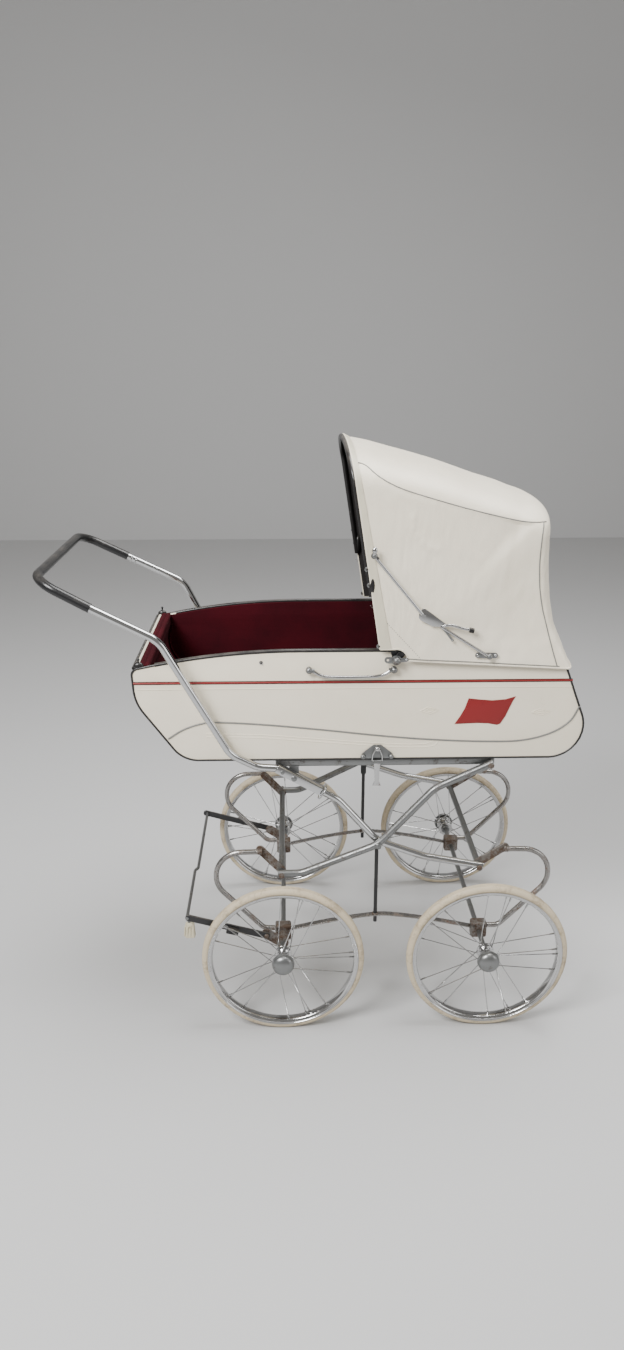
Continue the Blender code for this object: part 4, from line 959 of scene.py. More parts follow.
def makeCotShell():
    outer, inner = shellPath(), cavityPath()
    half, wall = cot["halfWidth"], cot["wall"]
    pieces = [flatPlate("cotWrap", flat(outer + inner[::-1]), -(half - 0.0062), half - 0.0062,
        "panel", edge=0.001)]
    for out in sides.values():
        pieces.append(flatPlate("sidePanel", flat(withRim(outer, 0)),
            *sorted((out * (half - wall), out * (half - 0.0002))), "panel", edge=0.0018))
    joined("cotShell", pieces, "cot", "cot_shell")
    piping, welts, red, dark, grey, emboss = [], [], [], [], [], []
    for out in sides.values():
        y = out * (half - 0.0002)
        loop = withRim(outer, -0.0004)
        piping.append([at(point.x, y - out * 0.0006, point.z) for point in loop + loop[:1]])
        rim = loop[len(outer):]
        welts.append([at(point.x, out * (half - 0.0042), point.z - 0.0012) for point in rim])
        red.append(lineOnSide([(-0.4918, cot["redZ"]), (0.3605, cot["redZ"])], y + out * 0.0001))
        for shift in (-0.0024, 0.0024):
            dark.append(lineOnSide([(-0.4918, cot["redZ"] + shift), (0.3605, cot["redZ"] + shift)],
                y))
        emboss.append(lineOnSide([(-0.486, 0.717), (0.364, 0.7165)], y - out * 0.0003))
        sweep = smoothPath([(x, 0, z) for x, z in (
            (-0.43, 0.614), (-0.4, 0.633), (-0.366, 0.645), (-0.335, 0.648), (-0.249, 0.643),
            (-0.131, 0.631), (-0.013, 0.617), (0.086, 0.608), (0.186, 0.603), (0.266, 0.604),
            (0.325, 0.619), (0.362, 0.644), (0.379, 0.676))], 8)
        grey.append([at(point.x, y + out * 0.0003, point.z) for point in sweep])
        for rise in (0.0, 0.0062):
            under = smoothPath([(x, 0, z + rise) for x, z in (
                (-0.356, 0.617), (-0.26, 0.615), (-0.17, 0.608), (-0.07, 0.599), (0.026, 0.592),
                (0.078, 0.5915 + 0.0004 * (rise > 0)))], 8)
            emboss.append([at(point.x, y - out * 0.0004, point.z) for point in under])
        hook = smoothPath([(x, 0, z) for x, z in ((0.078, 0.5915), (0.096, 0.595), (0.102, 0.604),
                                                  (0.095, 0.6045), (0.078, 0.5981))], 6)
        emboss.append([at(point.x, y - out * 0.0004, point.z) for point in hook])
        for cx, cz in ((0.083, 0.669), (0.303, 0.664)):
            shape = [(cx - 0.018, cz - 0.001), (cx - 0.003, cz + 0.007), (cx + 0.018, cz + 0.001),
                (cx + 0.003, cz - 0.007)]
            emboss.append(lineOnSide(shape + shape[:1], y - out * 0.0002))
            core = [(cx + (x - cx) * 0.55, cz + (z - cz) * 0.45) for x, z in shape]
            emboss.append(lineOnSide(core + core[:1], y - out * 0.0003))
    trims = [bentTube("blackPipes", piping, cot["piping"], "blackPiping", around=4),
             bentTube("rimWelts", welts, 0.0046, "blackPiping", around=4),
             bentTube("redLines", red, 0.0019, "redPiping", around=3),
             bentTube("darkLines", dark, 0.0009, "blackPiping", around=2),
             bentTube("greyLines", grey, 0.0017, "greyPiping", around=3),
             bentTube("embossed", emboss, 0.0012, "panel", around=3)]
    patch = ((0.159, 0.694), (0.18, 0.6915), (0.206, 0.6893), (0.232, 0.6915), (0.252, 0.6975),
        (0.2465, 0.688), (0.24, 0.672), (0.233, 0.655), (0.224, 0.64), (0.218, 0.6375),
        (0.2, 0.641), (0.18, 0.642), (0.158, 0.6412), (0.1335, 0.64), (0.143, 0.655),
        (0.152, 0.672))
    stitches = []
    for out in sides.values():
        low, high = sorted((out * (half - 0.0006), out * (half + 0.0008)))
        trims.append(flatPlate("patch", [(mid + x, z) for x, z in patch], low, high, "redPatch",
            edge=0.0005))
        centre = Vector((0.192, 0.6665))
        seam = [centre + (Vector(point) - centre) * 0.9 for point in patch]
        for first, second in zip(seam, seam[1:] + seam[:1]):  # a short stitch every 4 mm
            count = max(1, round((second - first).length / 0.004))
            for number in range(count):
                a = first.lerp(second, number / count)
                b = first.lerp(second, (number + 0.62) / count)
                stitches.append([at(a.x, out * (half + 0.0008), a.y),
                    at(b.x, out * (half + 0.0008), b.y)])
        stud = at(-0.245, out * (half - 0.0002), 0.77)
        trims.append(domeHead("studPlate", stud, out, 0.0042, 0.0012, "chrome"))
        trims.append(ballAt("studKnob", stud + Vector((0, out * 0.0022, 0)), 0.0022, "blackPiping"))
        corner = at(-0.48, out * (half - 0.004), 0.764)
        trims.append(ballAt("cornerStrap", corner, 0.01, "blackPiping", squash=(1.0, 0.55, 0.8)))
        trims.append(barBetween("cornerStud", corner, corner + Vector((0, 0, 0.012)), 0.0016,
            "blackSteel"))
        trims.append(ballAt("cornerKnob", corner + Vector((0, 0, 0.0135)), 0.0028, "blackSteel"))
    trims.append(bentTube("patchStitches", stitches, 0.00045, "redPiping", around=2))
    # the two burgundy rolls take the lining colour, which is darkened as painted shade
    for x, z, size, finish in ((-0.466, 0.76, 0.0062, "burgundy"),
            (-0.4755, 0.76, 0.0068, "burgundy"),
            (-0.4845, 0.7605, 0.003, "creamPiping"), (-0.4905, 0.759, 0.0036, "blackPiping")):
        trims.append(barBetween("footRim", at(x, -(half - 0.006), z), at(x, half - 0.006, z), size,
            finish))
    trims.append(barBetween("headRim", at(0.34, -(half - 0.008), rimHeight(0.34) + 0.0004),
        at(0.34, half - 0.008, rimHeight(0.34) + 0.0004), 0.0026, "blackPiping"))
    joined("cotTrim", trims, "cot")


def makeLiner():
    path, thick = cavityPath(), cot["liner"]
    outer, inner = offsetPath(path, 0.0004), offsetPath(path, 0.0004 + thick)
    reach = cot["halfWidth"] - cot["wall"] - 0.0003
    # the liner's burgundy is darkened beyond the cloth's own colour, as painted shade on the inner walls
    pieces = [flatPlate("linerWrap", flat(outer + inner[::-1]), -(reach - 0.003), reach - 0.003,
        "burgundy", edge=0.001)]
    for out in sides.values():
        pieces.append(flatPlate("linerSide", flat(withRim(outer, 0.0016)),
            *sorted((out * (reach - thick), out * reach)), "burgundy", edge=0.0016))
        welt = offsetPath(path, 0.0048 + thick)[14:-8]
        pieces.append(bentTube("linerWelt",
            [[at(point.x, out * (reach - thick - 0.0008), point.z) for point in welt]],
            0.0016, "burgundy", around=3))
    joined("cotLiner", pieces, "cot", "cot_liner")


def puffUp(piece, cap, low, pressure=4.0):  # fills a pad with air and keeps it near its shape
    before = [vertex.co.copy() for vertex in piece.data.vertices]
    choose(piece)
    cloth = piece.modifiers.new("cloth", "CLOTH")
    cloth.settings.use_pressure = True
    cloth.settings.uniform_pressure_force = pressure
    cloth.settings.effector_weights.gravity = 0
    cloth.settings.tension_stiffness = 12
    cloth.settings.bending_stiffness = 0.4
    cloth.point_cache.frame_start = 1
    cloth.point_cache.frame_end = 20
    for frameNumber in range(1, 21):
        bpy.context.scene.frame_set(frameNumber)
    bpy.ops.object.modifier_apply(modifier="cloth")
    bpy.context.scene.frame_set(1)
    for vertex, start in zip(piece.data.vertices, before):
        move = vertex.co - start
        if move.length > cap:
            move = move.normalized() * cap
        vertex.co = start + move
        vertex.co.z = max(vertex.co.z, low)


mattress = {"from": -0.352, "to": 0.324, "half": 0.1745, "low": 0.5824, "voxel": 0.0065,
            "buttonX": (-0.24, -0.12, 0.0, 0.12, 0.24), "buttonY": (-0.085, 0.085), "puff": 0.004}


def makeMattress():
    length = mattress["to"] - mattress["from"]
    thick = cot["mattressTop"] - 0.005 - mattress["low"]
    centre = at((mattress["from"] + mattress["to"]) / 2, 0, mattress["low"] + thick / 2)
    pad = bevelledBox(centre, (length, mattress["half"] * 2, thick), 0.012)
    pad.name = "mattressPad"
    remesh = pad.modifiers.new("even", "REMESH")
    remesh.mode = "VOXEL"
    remesh.voxel_size = mattress["voxel"]
    bpy.ops.object.modifier_apply(modifier="even")
    for vertex in pad.data.vertices:  # buttons pull the top down in two rows
        for bx in mattress["buttonX"]:
            for by in mattress["buttonY"]:
                away = math.hypot(vertex.co.x - mid - bx, vertex.co.y - by)
                if vertex.co.z > mattress["low"] + thick * 0.5:
                    vertex.co.z -= 0.007 * math.exp(-(away / 0.03) ** 2)
    puffUp(pad, mattress["puff"], mattress["low"])
    choose(pad)
    smooth = pad.modifiers.new("fine", "SUBSURF")
    smooth.levels = 1
    bpy.ops.object.modifier_apply(modifier="fine")
    pad = finishPiece(pad, "cotton", "cot", angle=60)
    pad.name = "mattressPad"
    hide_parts("mattress")
    print("mattress ready")


bail = {"y": 0.2025, "z": 0.756, "rear": -0.153, "front": 0.011, "wire": 0.0034}


def makeCarryHandle(side, out):
    y, z, tips = out * bail["y"], bail["z"], (bail["rear"], bail["front"])
    path = smoothPath([at(x, y, z) for x, z in ((-0.153, 0.756), (-0.145, 0.754), (-0.133, 0.747),
        (-0.115, 0.743), (-0.071, 0.742), (-0.027, 0.743), (-0.009, 0.747),
        (0.003, 0.754), (0.011, 0.756))], 6)
    pieces = [bentTube("bail", [path], bail["wire"], "chrome", around=5)]
    for x in tips:
        pieces.append(ballAt("ballEnd", at(x, y, z), 0.0067, "greySteel"))
        inward = 0.0075 if x < -0.05 else -0.0075
        pieces.append(turnedPiece("neck", [(-0.003, 0.0036), (-0.003, 0.0046), (0.003, 0.0042),
            (0.003, 0.0034)], at(x + inward, y, z - 0.0005), "greySteel", axis="X", steps=20))
    joined("carryHandle_" + side, pieces, "carry_handle_" + side, "carry_handle_" + side)
    washers = [domeHead("boss", at(x, out * (cot["halfWidth"] - 0.0003), z), out, 0.006, 0.0016,
        "chrome") for x in tips]
    joined("carryBoss_" + side, washers, "cot")


latch = {"x": -0.018, "hinge": 0.564, "knob": 0.592, "standOff": 0.005, "wire": 0.0013}


def makeLatch(side, out):
    face, x, hinge, knob = cot["halfWidth"] + 0.0003, latch["x"], latch["hinge"], latch["knob"]
    wing = roundedPath([(mid + x, 0, 0.569), (mid + x + 0.034, 0, 0.569), (mid + x + 0.03, 0, 0.58),
        (mid + x + 0.008, 0, 0.598), (mid + x - 0.008, 0, 0.598), (mid + x - 0.03, 0, 0.58),
        (mid + x - 0.034, 0, 0.569), (mid + x, 0, 0.569)],
        [0.003, 0.006, 0.006, 0.006, 0.006, 0.003], 5)[:-1]
    pieces = [flatPlate("wings", [(p.x, p.z) for p in wing],
        *sorted((out * face, out * (face + 0.0024))), "greySteel", edge=0.0007)]
    for shift in (-0.028, 0.028):
        pieces.append(ballAt("stud", at(x + shift, out * (face + 0.0056), 0.5745), 0.0052,
            "greySteel"))
    pieces.append(barBetween("knob", at(x, out * (face + 0.001), knob),
        at(x, out * (face + 0.0105), knob), 0.0038, "greySteel"))
    pieces.append(ballAt("knobHead", at(x, out * (face + 0.0098), knob), 0.005, "chrome",
        squash=(1, 0.6, 1)))
    low = face + latch["standOff"]
    loop = [at(x + px, out * (low + 0.0024 + py), pz) for px, py, pz in (
        (-0.01, 0, hinge), (-0.0092, 0.0006, 0.578), (-0.005, 0.0012, 0.588), (0, 0.0014, 0.5905),
        (0.005, 0.0012, 0.588), (0.0092, 0.0006, 0.578), (0.01, 0, hinge))]
    pieces.append(bentTube("hookWire", [smoothPath(loop, 6)], latch["wire"], "chrome", around=3))
    joined("latchPlate_" + side, pieces, "cot", "latch_plate_" + side)
    outline = [(x - 0.0046, 0.522), (x - 0.0062, 0.517), (x - 0.0084, 0.5125), (x - 0.006, 0.512),
               (x + 0.006, 0.512), (x + 0.0084, 0.5125), (x + 0.0062, 0.517), (x + 0.0046, 0.522),
               (x + 0.005, 0.545), (x + 0.0064, 0.56), (x + 0.0064, hinge), (x - 0.0064, hinge),
               (x - 0.0064, 0.56), (x - 0.005, 0.545)]
    pieces = [flatPlate("lever", [(mid + px, pz) for px, pz in outline],
        *sorted((out * low, out * (low + 0.003))), "chrome", edge=0.0008),
        barBetween("barrel", at(x - 0.011, out * (low + 0.0015), hinge),
        at(x + 0.011, out * (low + 0.0015), hinge), 0.004, "greySteel")]
    joined("latchLever_" + side, pieces, "latch_lever_" + side, "latch_lever_" + side)


def makeCot():
    makeCotShell()
    makeLiner()
    makeMattress()
    for side, out in sides.items():
        makeCarryHandle(side, out)
        makeLatch(side, out)
    print("cot ready")


# ---- hood: one cloth cover over two bows, with its seams, binding, snaps and folding stays
hood = {"x": 0.014, "z": 0.777, "sideY": 0.2055, "start": 0.022, "knee": 0.085, "front": -11.5,
    "edge": -15.0, "rear": 45.5, "last": 93.5, "columns": 180, "rows": 150, "cloth": 0.0018,
    "fine": 0.00095, "billow": 0.0022, "dip": 0.017}
hoodStations = ((-11.5, 0.403, 0.08, 0.013), (0, 0.377, 0.075, 0.013), (13, 0.364, 0.07, 0.013),
                (27, 0.366, 0.066, 0.013), (39, 0.386, 0.062, 0.013), (47, 0.403, 0.058, 0.013),
                (53, 0.378, 0.052, 0.013), (61, 0.348, 0.046, 0.013), (70, 0.33, 0.04, 0.012),
                (79, 0.326, 0.034, 0.01), (87, 0.337, 0.028, 0.006), (93.5, 0.352, 0.02, 0.002))
seamLine = ((-0.074, 1.148), (-0.071, 1.146), (-0.049, 1.14), (-0.023, 1.12), (0.017, 1.1),
    (0.084, 1.079), (0.152, 1.06), (0.219, 1.044), (0.253, 1.038), (0.29, 1.036))


def hoodShape(degrees):  # reach, depth of the crown and lean, smoothly between the stations
    degrees = min(max(degrees, hoodStations[0][0]), hoodStations[-1][0])
    spot = 0
    while spot < len(hoodStations) - 2 and degrees > hoodStations[spot + 1][0]:
        spot += 1
    b, c = hoodStations[spot], hoodStations[spot + 1]
    a = hoodStations[max(spot - 1, 0)]
    d = hoodStations[min(spot + 2, len(hoodStations) - 1)]
    t = (degrees - b[0]) / (c[0] - b[0])
    values = []
    for number in (1, 2, 3):
        slopeB = (c[number] - a[number]) / (c[0] - a[0]) * (c[0] - b[0])
        slopeC = (d[number] - b[number]) / (d[0] - b[0]) * (c[0] - b[0])
        values.append((2 * t ** 3 - 3 * t ** 2 + 1) * b[number] + (t ** 3 - 2 * t ** 2 + t) * slopeB
                      + (3 * t ** 2 - 2 * t ** 3) * c[number] + (t ** 3 - t ** 2) * slopeC)
    return values


def archPoint(share, reach, depth, lean, inset=0.0, start=None):  # share: 0 left foot, 1 right
    out = 1 if share <= 0.5 else -1
    t = 2 * share if share <= 0.5 else 2 * (1 - share)
    start = hood["start"] if start is None else start
    lowY = hood["sideY"] - inset
    topY, reach = lowY - lean, reach - inset
    shoulder = reach - depth
    if t < 0.08:
        return out * lowY, start + (hood["knee"] - start) * t / 0.08
    if t < 0.52:
        along = (t - 0.08) / 0.44
        return out * (lowY - lean * along), hood["knee"] + (shoulder - hood["knee"]) * along
    angle = math.pi / 2 * (t - 0.52) / 0.48
    return out * topY * max(math.cos(angle), 0) ** 0.8, shoulder + depth * math.sin(angle) ** 0.8


def hoodBase(degrees, share):
    past = min(max((hood["front"] - degrees) / (hood["front"] - hood["edge"]), 0), 1)
    reach, depth, lean = hoodShape(degrees)
    y, r = archPoint(share, reach + 0.005 * past, depth, lean)
    forward = past * (0.028 - 0.018 * r / 0.403)
    turn = math.radians(max(degrees, hood["front"]))
    return Vector((hood["x"] + r * math.sin(turn) - forward, y, hood["z"] + r * math.cos(turn))), r


def seamReach(degrees):  # how far out the side's top seam lies at each angle
    spots = [(math.degrees(math.atan2(x - hood["x"], z - hood["z"])),
        math.hypot(x - hood["x"], z - hood["z"])) for x, z in seamLine]
    if degrees <= spots[0][0]:
        return spots[0][1]
    for (first, low), (second, high) in zip(spots, spots[1:]):
        if degrees <= second:
            return low + (high - low) * (degrees - first) / (second - first)
    return 9.0


def ease(value):
    value = min(max(value, 0), 1)
    return value * value * (3 - 2 * value)


def creaseAt(place, degrees, r):  # how far the cloth stands out of, or in from, its plain shape
    side = 1 if place.y > 0 else -1
    below = ease((seamReach(degrees) - r) / 0.008) if degrees < 47 else 1.0
    flank = ease((abs(place.y) - 0.1) / 0.07)
    x, z = place.x, place.z
    wave = noise.noise(Vector((x * 9 + side * 3, z * 6.5, 2.1))) * hood["billow"] * (0.35 + 0.65
        * flank * below)
    fine = 0.0
    for scale, share in ((62, 1.0), (118, 0.7), (210, 0.4)):
        warp = noise.noise(Vector((x * 12, z * 12, side * 4.0))) * 1.6
        fine += share * noise.noise(Vector((x * scale + warp, z * scale * 0.22 + warp, side * 7.0)))
    fine *= hood["fine"] * (0.18 + 0.82 * flank * below)
    arc = 0.0
    for ax, az in ((0.038, 1.046), (0.041, 1.03), (0.048, 1.014), (0.058, 1.001), (0.071, 0.992),
            (0.085, 0.988)):
        arc += math.exp(-((x - ax) ** 2 + (z - az) ** 2) / 0.007 ** 2)
    ring = 0.0019 * min(arc, 1.2) * flank
    dent = -0.0024 * math.exp(-((x - 0.04) ** 2 / 0.04 ** 2 + (z - 0.872) ** 2
        / 0.034 ** 2)) * flank
    dip = 0.0
    ahead = hood["rear"] - degrees
    if ahead > 0:
        pull = ease((r - 0.15) / 0.235) ** 1.3
        dip = -hood["dip"] * pull * math.exp(-ahead / 9.5) * ease(ahead / 5.5) * below
    tension = 0.0
    if degrees > hood["rear"]:
        fan = math.sin(math.radians((degrees - hood["rear"]) * 26)) * 0.0006
        tension = fan * ease((r - 0.1) / 0.2) * math.exp(-(degrees - hood["rear"]) / 18)
    droop = 0.0
    if flank < 1:
        droop = -0.001 * math.sin(math.radians(min(max((degrees + 11.5) / 57, 0), 1) * 180)) * (1
            - flank)
    return wave + fine + ring + (dent + dip) * flank + tension + droop


hoodGrid = {}


def fillHoodGrid():
    rows, columns = hood["rows"], hood["columns"]
    angles = []
    for row in range(rows + 1):
        t = row / rows
        angles.append(hood["edge"] + 3.5 * t / 0.06 if t < 0.06
                      else hood["front"] + (hood["last"] - hood["front"]) * (t - 0.06) / 0.94)
    base = [[hoodBase(angle, column / columns) for column in range(columns + 1)]
        for angle in angles]
    placed = []
    for row, angle in enumerate(angles):
        line = []
        for column in range(columns + 1):
            along = base[min(row + 1, rows)][column][0] - base[max(row - 1, 0)][column][0]
            across = base[row][min(column + 1, columns)][0] - base[row][max(column - 1, 0)][0]
            normal = across.cross(along)
            place, r = base[row][column]
            normal = normal.normalized() if normal.length > 1e-9 else Vector((0,
                1 if place.y > 0 else -1, 0))
            if normal.dot(place - Vector((0.1, 0, 0.86))) < 0:
                normal = -normal
            edgeFade = ease(min(row, rows - row) / 4) * ease(min(column, columns - column) / 4)
            line.append((place + normal * creaseAt(place, angle, r) * edgeFade, normal))
        placed.append(line)
    hoodGrid["rows"] = placed
    finder = {}
    for side in (1, -1):
        spots = [(place, normal) for line in placed for place, normal in line if place.y
            * side > 0.05]
        tree = kdtree.KDTree(len(spots))
        for number, (place, normal) in enumerate(spots):
            tree.insert((place.x, place.z, 0.0), number)
        tree.balance()
        finder[side] = (spots, tree)
    hoodGrid["finder"] = finder


def onHood(x, z, side, lift):  # the place on the hood's side over a design x and z
    spots, tree = hoodGrid["finder"][side]
    total, y = 0.0, 0.0
    for found in tree.find_n((x, z, 0.0), 5):
        number, away = found[1:]
        weight = 1 / (away + 0.0004)
        total += weight
        y += spots[number][0].y * weight
    return at(x, y / total + side * lift, z)


def hoodWeights(piece):  # fans out from the front bow to the hem, by angle about the pivot
    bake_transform(piece, "cot", "hood_bow_front", at(0.3, 0, hood["z"]), at(0, 0, hood["z"] + 0.4))
    layer = piece.data.attributes["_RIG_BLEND"]
    for vertex, entry in zip(piece.data.vertices, layer.data):
        angle = math.degrees(math.atan2(vertex.co.x - mid - hood["x"], vertex.co.z - hood["z"]))
        if angle < -100:
            angle += 360
        if angle <= hood["front"]:
            entry.value = 1.0
        elif angle <= hood["rear"]:
            entry.value = 1.0 - 0.58 * (angle - hood["front"]) / (hood["rear"] - hood["front"])
        else:
            entry.value = max(0.0, 0.42 * (hood["last"] - angle) / (hood["last"] - hood["rear"]))


def gridPiece(name, rows, wrapMaterials, thickness, inward=-1):
    count, across = len(rows), len(rows[0])
    bpy.ops.object.select_all(action="DESELECT")
    bpy.ops.mesh.primitive_grid_add(x_subdivisions=across - 1, y_subdivisions=count - 1, size=1)
    piece = bpy.context.object
    piece.name = name
    order = sorted(range(len(piece.data.vertices)),
        key=lambda n: (round(piece.data.vertices[n].co.y, 6),
        round(piece.data.vertices[n].co.x, 6)))
    for number, index in enumerate(order):
        place = rows[number // across][number % across]
        piece.data.vertices[index].co = Vector((place.x + mid, place.y, place.z))
    piece.data.update()
    if sum(face.normal.z * face.area for face in piece.data.polygons) < 0:
        choose(piece)
        bpy.ops.object.mode_set(mode="EDIT")
        bpy.ops.mesh.select_all(action="SELECT")
        bpy.ops.mesh.flip_normals()
        bpy.ops.object.mode_set(mode="OBJECT")
    area = sum(face.area for face in piece.data.polygons)
    for finish in wrapMaterials:
        piece.data.materials.append(finishes[finish])
    choose(piece)
    skin = piece.modifiers.new("thickness", "SOLIDIFY")
    skin.thickness = thickness
    skin.offset = inward
    if len(wrapMaterials) > 1:
        skin.material_offset = 1
    bpy.ops.object.modifier_apply(modifier="thickness")
    bpy.ops.object.shade_smooth_by_angle(angle=math.radians(60))
    return piece, area


def makeHoodCover():
    fillHoodGrid()
    rows = hoodGrid["rows"]
    cover, area = gridPiece("hoodCover", [[place for place, normal in line] for line in rows],
                            ("cloth", "hoodInside"), hood["cloth"])
    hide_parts("hood_cover")
    bandRows = []
    for line in rows[:8]:
        bandRows.append([place + normal * 0.0008 for place, normal in line])
    band = gridPiece("hoodBinding", bandRows, ("binding",), 0.0007, 1)[0]
    edge = rows[0]
    edgePath = [at(place.x, place.y, place.z) for place, normal in edge]
    inwardPath = [at(place.x - 0.0022, place.y, place.z) - normal * 0.004 for place, normal in edge
        if place.z > 0.898]
    hem = [at(place.x, place.y, place.z) + normal * 0.0003 for place, normal in rows[-1]]
    corners = []
    for column in (0, -1):
        corners.append([at(line[column][0].x, line[column][0].y, line[column][0].z)
            for line in rows])
    trims = [band,
             bentTube("frontRoll", [edgePath], 0.0019, "creamPiping", around=3),
             bentTube("blackInner", [inwardPath], 0.005, "blackPiping", around=4),
             bentTube("hemPiping", [hem, *corners], 0.0018, "creamPiping", around=3)]
    for end in (inwardPath[0], inwardPath[-1]):
        trims.append(ballAt("innerBulge", end + Vector((0.0015, 0, 0.018)), 0.0085, "blackPiping",
            squash=(0.8, 0.7, 2.4)))
    dark, stitch = [], []
    for side in (1, -1):
        seam = smoothPath([(x, 0, z) for x, z in seamLine], 8)
        dark.append([onHood(point.x, point.z, side, 0.0002) for point in seam])
        hemLine = [onHood(x, 0.7795 - (x - 0.03) * 0.062, side, 0.0001) for x in
                   [0.03 + 0.3 * step / 40 for step in range(41)]]
        dark.append(hemLine)
        rear = smoothPath([(x, 0, z) for x, z in ((0.29, 1.036), (0.2865, 1.016), (0.285, 0.99),
            (0.285, 0.962), (0.287, 0.93), (0.29, 0.905), (0.296, 0.876), (0.308, 0.835),
            (0.32, 0.795), (0.331, 0.762))], 6)
        dark.append([onHood(point.x - 0.006, point.z, side, 0.0002) for point in rear])
        line = [(-0.038 + 0.098 * step / 60, 0.885 - 0.105 * step / 60) for step in range(61)]
        places = [onHood(x, z, side, 0.0001) for x, z in line]
        stitch += [[a, a.lerp(b, 0.7)] for a, b in zip(places[::2], places[1::2])]
        for x, z in ((-0.045, 0.953), (-0.04, 0.923), (-0.02, 0.805)):
            spot = onHood(x, z, side, 0.0)
            trims.append(domeHead("snap", spot, side, 0.005, 0.0014, "greySteel"))
            trims.append(ballAt("snapEye", spot + Vector((0, side * 0.001, 0)), 0.0024,
                "blackPiping"))
    trims.append(bentTube("darkSeams", dark, 0.0011, "greyPiping", around=3))
    trims.append(bentTube("cornerStitch", stitch, 0.0006, "greyPiping", around=2))
    trim = joined("hoodTrim", trims)
    hoodWeights(cover)
    hoodWeights(trim)


def makeBow(name, body, node, degrees, reach, depth, inset, width):
    outline = [archPoint(step / 120, reach, depth, 0.013, inset, 0.0) for step in range(121)]
    inside = [archPoint(step / 120, reach, depth, 0.013, inset + 0.003, 0.0) for step in range(121)]
    bow = flatPlate("bow", outline + inside[::-1], -width / 2, width / 2, "blackSteel", edge=0.0006)
    turn = Matrix.Rotation(math.radians(degrees), 4, "Y")
    bow.matrix_world = Matrix.Translation(at(hood["x"], 0,
        hood["z"])) @ turn @ Matrix.Rotation(math.pi / 2, 4, "Z")
    bow = finishPiece(bow, "blackSteel", angle=30)
    eyes = [bow]
    for out in (1, -1):
        y = out * (hood["sideY"] - inset)
        eyes.append(flatPlate("eye", circleOutline((mid + hood["x"], hood["z"]), 0.008),
                              *sorted((y - out * 0.003, y)), "blackSteel", edge=0.0006))
    joined(name, eyes, body, node)


def makePivot(side, out):
    x, z = hood["x"], hood["z"]
    pieces = [barBetween("shank", at(x, out * 0.1953, z), at(x, out * 0.21, z), 0.003, "greySteel"),
        turnedPiece("washer", [(0.0, 0.003), (0.0, 0.0098), (0.0008, 0.01), (0.0018, 0.0096),
        (0.0018, 0.003)], at(x, out * 0.2061, z) if out > 0 else at(x, out * 0.2061 - 0.0018, z),
        "greySteel", steps=32),
        ballAt("knob", at(x, out * 0.2128, z), 0.0078, "greySteel", squash=(1, 0.85, 1))]
    lug = [*linkOutline((mid + x, z), (mid + x - 0.0165, z + 0.0005), 0.0066)]
    hole = circleOutline((mid + x - 0.0165, z + 0.0005), 0.0024, 16)[::-1]
    low, high = sorted((out * 0.2064, out * 0.208))
    pieces.append(flatPlate("lug", lug, low, high, "greySteel", edge=0.0005, holes=[hole]))
    pieces.append(flatPlate("smallLug",
        linkOutline((mid + x + 0.006, z), (mid + x + 0.019, z + 0.001), 0.0042),
        low, high, "greySteel", edge=0.0005))
    pieces.append(domeHead("lugPin", at(x + 0.019, out * 0.2078, z + 0.001), out, 0.0022, 0.0016,
        "chrome"))
    joined("hoodPivot_" + side, pieces, "cot", "hood_pivot_" + side)


stay = {"top": (-0.033, 0.981), "elbow": (0.062, 0.866), "foot": (0.187, 0.786), "rod": 0.0032,
        "outerY": 0.213, "innerY": 0.2098}


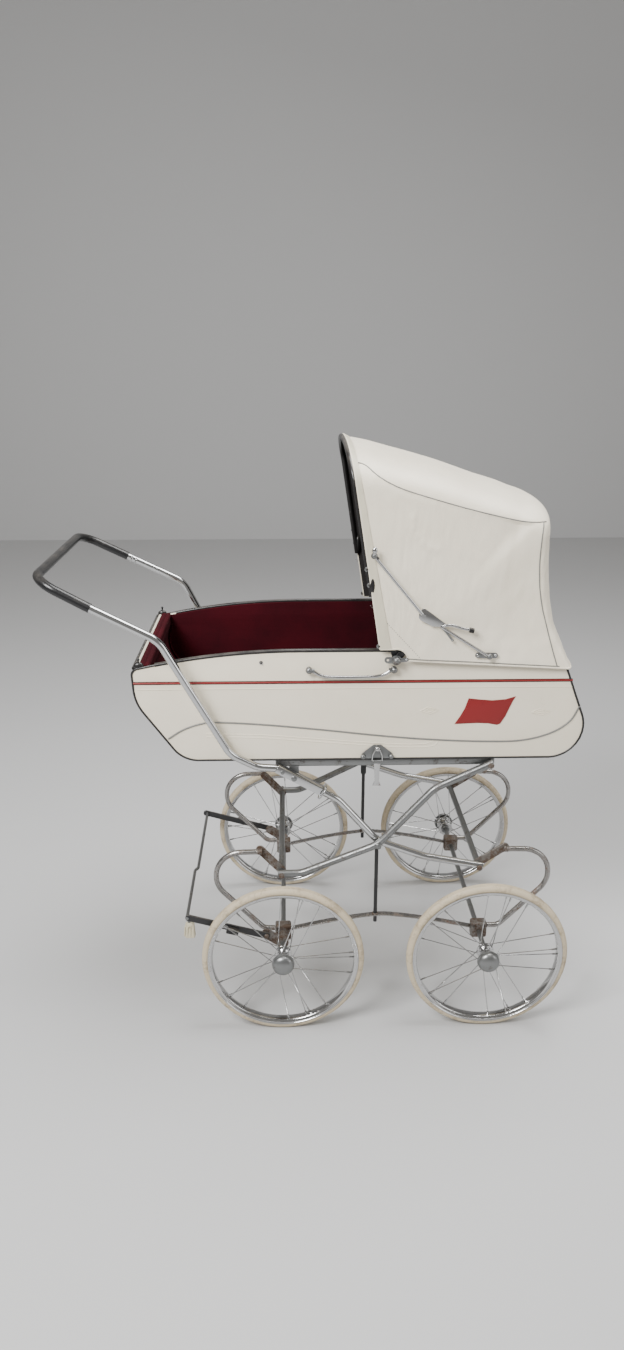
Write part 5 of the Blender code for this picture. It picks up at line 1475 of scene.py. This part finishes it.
def makeStay(side, out):
    top, foot, elbow, rodSize = stay["top"], stay["foot"], stay["elbow"], stay["rod"]
    y = out * stay["outerY"]
    topPin = at(top[0], y, top[1])
    elbowPin = at(elbow[0], y, elbow[1])
    rod = [topPin, topPin.lerp(elbowPin, 0.5), elbowPin + (topPin - elbowPin).normalized() * 0.004]
    pieces = [bentTube("upperRod", [rod], rodSize, "chrome", around=4),
        barBetween("topPin", at(top[0], out * 0.1915, top[1]), at(top[0], out * 0.216, top[1]),
        0.0025, "greySteel"), ballAt("topBall", topPin, 0.0062, "greySteel"),
        ballAt("topClip", topPin + Vector((0.001, 0, 0.01)), 0.0052, "chrome",
        squash=(1, 0.8, 1.3)),
        ballAt("topJoint", topPin + Vector((0.006, 0, -0.0048)), 0.0034, "blackSteel"),
        barBetween("elbowRivet", at(elbow[0], out * 0.2114, elbow[1]),
        at(elbow[0], out * 0.216, elbow[1]), 0.0042, "chrome")]
    joined("stayUpper_" + side, pieces, "hood_stay_upper_" + side, "hood_stay_upper_" + side)
    plate = [(0.0535, 0.869), (0.06, 0.88), (0.066, 0.879), (0.106, 0.849), (0.101, 0.841),
        (0.094, 0.844), (0.08, 0.8445), (0.07, 0.85), (0.058, 0.856), (0.0535, 0.861)]
    low, high = sorted((out * 0.2088, out * 0.2108))
    y = out * stay["innerY"]
    start = Vector((0.096, 0.844))
    lowerRod = [at(start.x, y, start.y), at(foot[0], y, foot[1])]
    prong = smoothPath([at(px, y, pz) for px, pz in ((0.096, 0.843), (0.104, 0.836), (0.112, 0.826),
        (0.119, 0.817))], 5)
    lever = smoothPath([at(px, y + out * py, pz) for px, py, pz in ((0.098, 0, 0.845),
        (0.11, 0.002, 0.8475), (0.122, 0.003, 0.846), (0.134, 0.003, 0.842), (0.15, 0.002, 0.838))],
        6)
    pieces = [flatPlate("elbowPlate", [(mid + px, pz) for px, pz in plate], low, high, "chrome",
        edge=0.0005), bentTube("lowerRod", [lowerRod], rodSize, "chrome", around=4),
        bentTube("prong", [prong], 0.0022, "greySteel", around=4),
        bentTube("lever", [lever], 0.003, "chrome", around=4),
        barBetween("leverTip", lever[-1], lever[-1] + Vector((0.0085, 0, -0.002)), 0.005, "lever"),
        ballAt("prongPin", prong[-1], 0.0028, "greySteel"),
        domeHead("plateRivet", at(elbow[0], out * 0.2105, elbow[1]), out, 0.003, 0.0012, "chrome"),
        barBetween("footPin", at(foot[0], out * 0.1955, foot[1]), at(foot[0], out * 0.212, foot[1]),
        0.0025, "greySteel"),
        ballAt("footBall", at(foot[0] + 0.004, out * 0.213, foot[1] - 0.001), 0.006, "greySteel")]
    joined("stayLower_" + side, pieces, "hood_stay_lower_" + side, "hood_stay_lower_" + side)
    low, high = sorted((out * 0.2064, out * 0.2074))
    bracket = flatPlate("stayBracket_" + side,
        linkOutline((mid + 0.17, 0.7862), (mid + 0.203, 0.7852), 0.0056), low, high,
        "greySteel", edge=0.0003)
    studs = [ballAt("bracketStud", at(px, out * 0.2078, 0.7857), 0.003, "chrome",
        squash=(1, 0.7, 1)) for px in (0.17, 0.2035)]
    joined("stayBracket_" + side, [bracket, *studs], "cot")


def makeHood():
    makeBow("hoodBowFront", "hood_bow_front", "hood_bow_front", -11.5, 0.399, 0.08, 0.0066, 0.014)
    makeBow("hoodBowRear", "hood_bow_rear", "hood_bow_rear", 45.5, 0.393, 0.058, 0.0032, 0.012)
    makeHoodCover()
    for side, out in sides.items():
        makePivot(side, out)
        makeStay(side, out)
    print("hood ready")


makeStudio()
makeWheel()
makeUndercarriage()
makeChassis()
makeCot()
makeHood()
